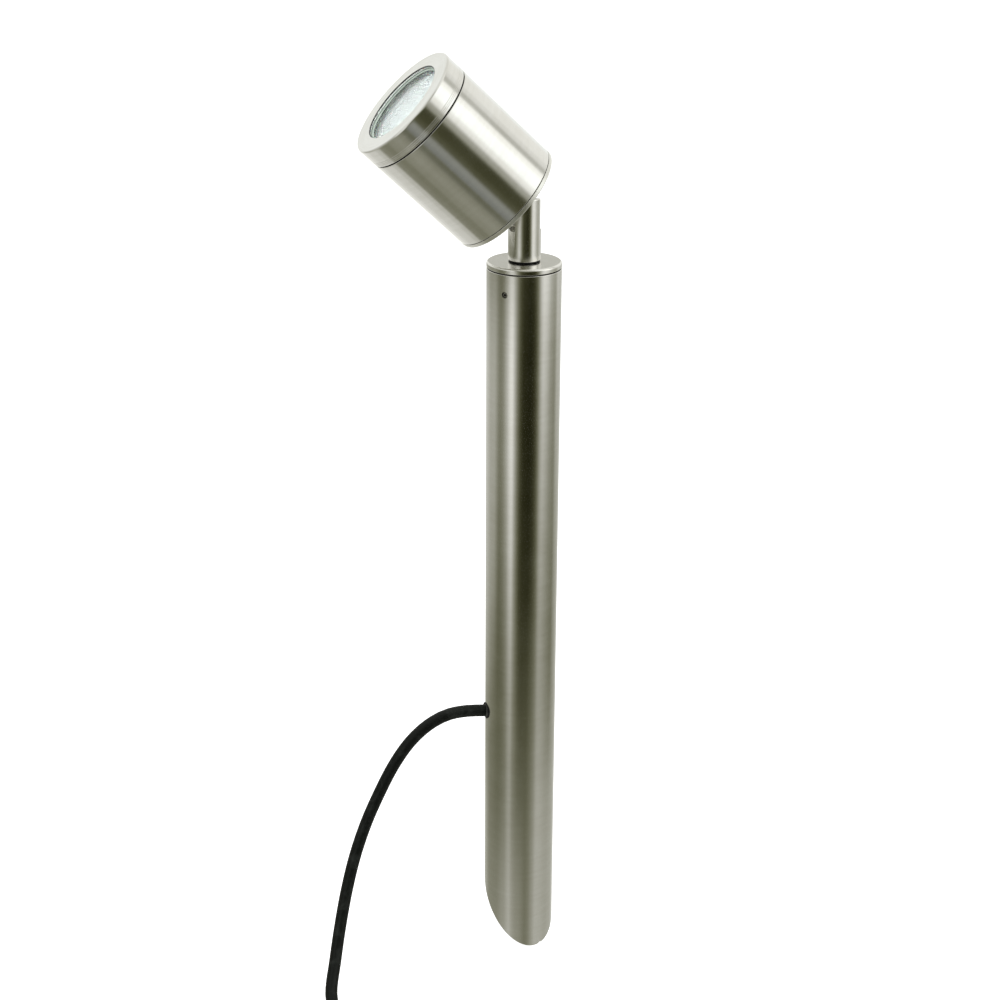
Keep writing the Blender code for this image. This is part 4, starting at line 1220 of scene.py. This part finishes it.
# What the head sees, as soft patches of light set in the same way: azimuth, elevation, brightness, coolness
PATCHES = (
    (-169, -22, 1.10, 0.0), (-161, -31, 0.92, 0.0), (-150, -40, 0.82, 0.0), (-140, -48, 0.73, 0.0),
    (-126, -55, 0.72, 0.0), (-108, -61, 0.60, 0.0), (-85, -65, 0.25, 0.0), (-58, -64, 0.22, 0.0),
    (-34, -60, 0.28, 0.0), (-15, -54, 0.31, 0.0), (-2, -46, 0.28, 0.0), (7, -38, 0.13, 0.0),
    (3, -42, 0.17, 0.3), (12, -34, 0.25, 0.8), (19, -26, 0.31, 0.6), (26, -18, 0.09, 0.0),
    (33, -11, 0.06, 0.0), (40, -3, 0.05, 0.0), (49, 5, 0.40, 0.0), (58, 12, 1.05, 0.0),
    (68, 18, 1.4, 0.6), (80, 23, 1.45, 0.6), (91, 26, 1.25, 0.0), (104, 28, 0.56, 0.0),
    (117, 27, 0.88, 0.0), (129, 25, 1.0, 0.0), (141, 20, 1.0, 0.0), (151, 15, 1.0, 0.0),
    (162, 8, 1.05, 0.5), (171, 0, 1.12, 0.5), (-152, 14, 1.0, 0.3), (-125, 25, 0.92, 0.3),
    (-73, 44, 0.86, 0.1), (-100, 52, 0.9, 0.1), (-90, 5, 0.6, 0.0), (-60, -20, 0.35, 0.0),
    (-37, 0, 0.9, 0.0), (-12, 12, 0.15, 0.0), (0, 45, 0.5, 0.0), (90, 60, 1.0, 0.0),
    (180, 50, 0.9, 0.0), (-110, -25, 0.5, 0.0), (90, -30, 0.35, 0.0), (130, -30, 0.6, 0.0),
)
# The even brightness round the glass and the lamp, without which the glass is darker than the photograph's
LENS_LIGHT = 2.7
FAR_RADIUS = 4.0
LENS_SCREEN_RADIUS = 3.2
# The near screen's top passes into the head's light over this stretch, and stays dimmer straight behind
POLE_TOP = 0.39
PASSES_FROM = 0.30
PASSES_OVER = 0.12
BEHIND = 165.0
BEHIND_AT_MOST = 0.6


def direction(azimuth, elevation):
    """A direction in the scene. Azimuth 0 points back at the camera's side, and grows to its right."""
    turn = math.radians(azimuth) - math.pi / 2.0 + CAMERA_TURN
    rise = math.radians(elevation)
    return Vector((math.cos(turn) * math.cos(rise), math.sin(turn) * math.cos(rise), math.sin(rise)))


def studio_colour(grey, cool=0.0):
    """Darker parts of the studio are warmer, as a wooden room around a white table is."""
    level = max(grey, 0.0) ** (1.0 / 2.2)
    warm = 0.98 - 0.52 * max(0.0, 1.0 - level) ** 2.2
    blue = warm + (1.0 - warm) * cool
    return (grey * (1.0 - 0.05 * cool), grey, grey * blue ** 2.2)


PATCH_DIRECTIONS = [(direction(azimuth, elevation), grey, cool) for azimuth, elevation, grey, cool in PATCHES]


def seen_from_head(towards):
    """Brightness and coolness in a direction, as a soft mean of the patches near it."""
    total = brightness = coolness = 0.0
    for centre, grey, cool in PATCH_DIRECTIONS:
        apart = 1.0 - towards.dot(centre)
        weight = 1.0 / (apart + 0.0015) ** 3.5
        total += weight
        brightness += weight * grey
        coolness += weight * cool
    return brightness / total, coolness / total


def along_row(levels, azimuth):
    for i in range(len(SCREEN_AZIMUTHS) - 1):
        a, b = SCREEN_AZIMUTHS[i], SCREEN_AZIMUTHS[i + 1]
        if a <= azimuth <= b:
            t = (azimuth - a) / (b - a)
            return (levels[i] + (levels[i + 1] - levels[i]) * t) / 100.0
    return levels[0] / 100.0


def seen_from_spike(azimuth, height):
    """Brightness on the near screen, which passes above the pole into what the head sees."""
    if height >= SCREEN_ROWS[0][0]:
        low = along_row(SCREEN_ROWS[0][1], azimuth)
        rise = math.degrees(math.atan2(height - POLE_TOP, SCREEN_RADIUS))
        high = seen_from_head(direction(azimuth, rise))[0]
        if abs(azimuth) > BEHIND:
            high = min(high, BEHIND_AT_MOST)
        return low + (high - low) * smooth_step((height - PASSES_FROM) / PASSES_OVER)
    for (upper, above), (lower, below) in zip(SCREEN_ROWS, SCREEN_ROWS[1:]):
        if height >= lower:
            t = (height - lower) / (upper - lower)
            return along_row(below, azimuth) * (1.0 - t) + along_row(above, azimuth) * t
    return along_row(SCREEN_ROWS[-1][1], azimuth)


def glow_look(name):
    """Lets sight through and adds the light of the mesh's own colours."""
    g = Graph(name, (0.0, 0.0, 0.0), 1.0)
    colours = g.node("Attribute", attribute_name="light")
    light = g.node("Emission", {"Color": colours.outputs["Color"]})
    clear = g.node("BsdfTransparent")
    both = g.node("AddShader", {0: light.outputs[0], 1: clear.outputs[0]})
    g.links.new(both.outputs[0], g.nodes["Material Output"].inputs["Surface"])
    g.nodes.remove(g.shader)
    g.material.cycles.emission_sampling = "NONE"
    return g.material


def make_screen(name, points, colours, across, lit):
    """A closed screen of light around the object, seen only by some of the pieces."""
    shape = bmesh.new()
    grid = [[shape.verts.new(point) for point in ring] for ring in points]
    for upper, lower in zip(grid, grid[1:]):
        for i in range(across):
            j = (i + 1) % across
            shape.faces.new((upper[i], upper[j], lower[j], lower[i]))
    mesh = bpy.data.meshes.new(name)
    shape.to_mesh(mesh)
    shape.free()
    layer = mesh.color_attributes.new("light", "FLOAT_COLOR", "POINT")
    for item, colour in zip(layer.data, [colour for ring in colours for colour in ring]):
        item.color = (*colour, 1.0)
    mesh.shade_smooth()
    mesh.materials.append(glow_look(name))
    screen = placed(name, mesh)
    screen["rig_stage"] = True
    screen.visible_camera = False
    screen.visible_diffuse = False
    screen.visible_shadow = False
    screen.visible_volume_scatter = False
    receivers = bpy.data.collections.new(name + "_lights")
    for piece in lit:
        receivers.objects.link(piece)
    screen.light_linking.receiver_collection = receivers
    return screen


def make_screens():
    across = 120
    azimuths = [-180.0 + 360.0 * i / across for i in range(across)]
    elevations = [-89.9 + 179.8 * j / 60 for j in range(61)]
    heights = [-0.7 + 0.03 * j for j in range(76)]
    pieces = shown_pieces()

    def dome(radius):
        return [[PIVOT + radius * direction(azimuth, elevation) for azimuth in azimuths]
                for elevation in elevations]

    def level(radius, height):
        return [radius * direction(azimuth, 0.0) + Vector((0.0, 0.0, height)) for azimuth in azimuths]

    far_light = [[studio_colour(*seen_from_head(direction(azimuth, elevation))) for azimuth in azimuths]
                 for elevation in elevations]
    optics = [piece for piece in pieces if piece.name.startswith(("lens_", "lamp_"))]
    head = [piece for piece in pieces
            if piece.get("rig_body") in ("head", "lens_pack", "bezel") and piece not in optics]
    make_screen("far_screen", dome(FAR_RADIUS), far_light, across, head)
    lens_light = [[studio_colour(LENS_LIGHT, 0.9)] * across for elevation in elevations]
    make_screen("lens_screen", dome(LENS_SCREEN_RADIUS), lens_light, across, optics).visible_diffuse = True
    low, high = heights[0], heights[-1]
    near = [level(0.01, low), level(0.3, low)] + [level(SCREEN_RADIUS, height) for height in heights]
    near += [level(0.3, high), level(0.01, high)]
    near_light = [[studio_colour(seen_from_spike(azimuth, height)) for azimuth in azimuths]
                  for height in heights]
    below = [[studio_colour(0.4)] * across] * 2
    above = [[studio_colour(0.95)] * across] * 2
    spike = [piece for piece in pieces if piece.get("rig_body") in ("spike", "stem")]
    make_screen("near_screen", near, below + near_light + above, across, spike)


def make_floor():
    """A plain pale floor, bright enough to run into the background."""
    shape = bmesh.new()
    bmesh.ops.create_grid(shape, x_segments=8, y_segments=8, size=14.0)
    floor = mesh_object("floor", shape, Matrix.Translation((0.0, 0.0, -0.0002)))
    g = Graph("pale_floor", (0.92, 0.92, 0.915), 0.9, Specular_IOR_Level=0.0,
              Emission_Color=(1.0, 1.0, 1.0, 1.0), Emission_Strength=0.72)
    g.material.cycles.emission_sampling = "NONE"
    floor.data.materials.append(g.material)
    floor.visible_glossy = False
    floor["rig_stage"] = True


def area_light(name, place, target, size, power):
    light = bpy.data.lights.new(name, "AREA")
    light.shape = "DISK"
    light.size = size
    light.energy = power
    lamp = placed(name, light, looking_along(Vector(place), Vector(place) - Vector(target)))
    lamp.visible_glossy = False
    lamp.visible_transmission = False


def make_lights():
    scene = bpy.context.scene
    scene.view_settings.view_transform = "Standard"
    world = bpy.data.worlds.new("studio")
    world.use_nodes = True
    ground = world.node_tree.nodes["Background"]
    ground.inputs["Color"].default_value = (1.0, 1.0, 1.0, 1.0)
    ground.inputs["Strength"].default_value = 0.55
    scene.world = world
    world.cycles_visibility.glossy = False
    world.cycles_visibility.transmission = False
    area_light("key", (0.9, -1.4, 2.2), (0.0, 0.0, 0.2), 1.6, 34.0)
    area_light("fill", (-1.6, -0.6, 1.6), (0.0, 0.0, 0.2), 1.4, 16.0)


# ---------------- everything, in order

make_camera()
LOOKS = make_looks()
make_grommet()
make_tie("hank_tie_1")
make_tie("hank_tie_2")
make_connector()
make_supply_cable()
make_spike_tube()
make_pole_cap()
make_inner_cable()
make_swivel_stem()
make_stem_fastening()
make_rear_cap()
make_resin_seal()
make_head_body()
make_bezel()
make_lens()
make_reflector()
make_lamp()
make_filament()
make_lamp_holder()
make_floor()
make_lights()
make_screens()
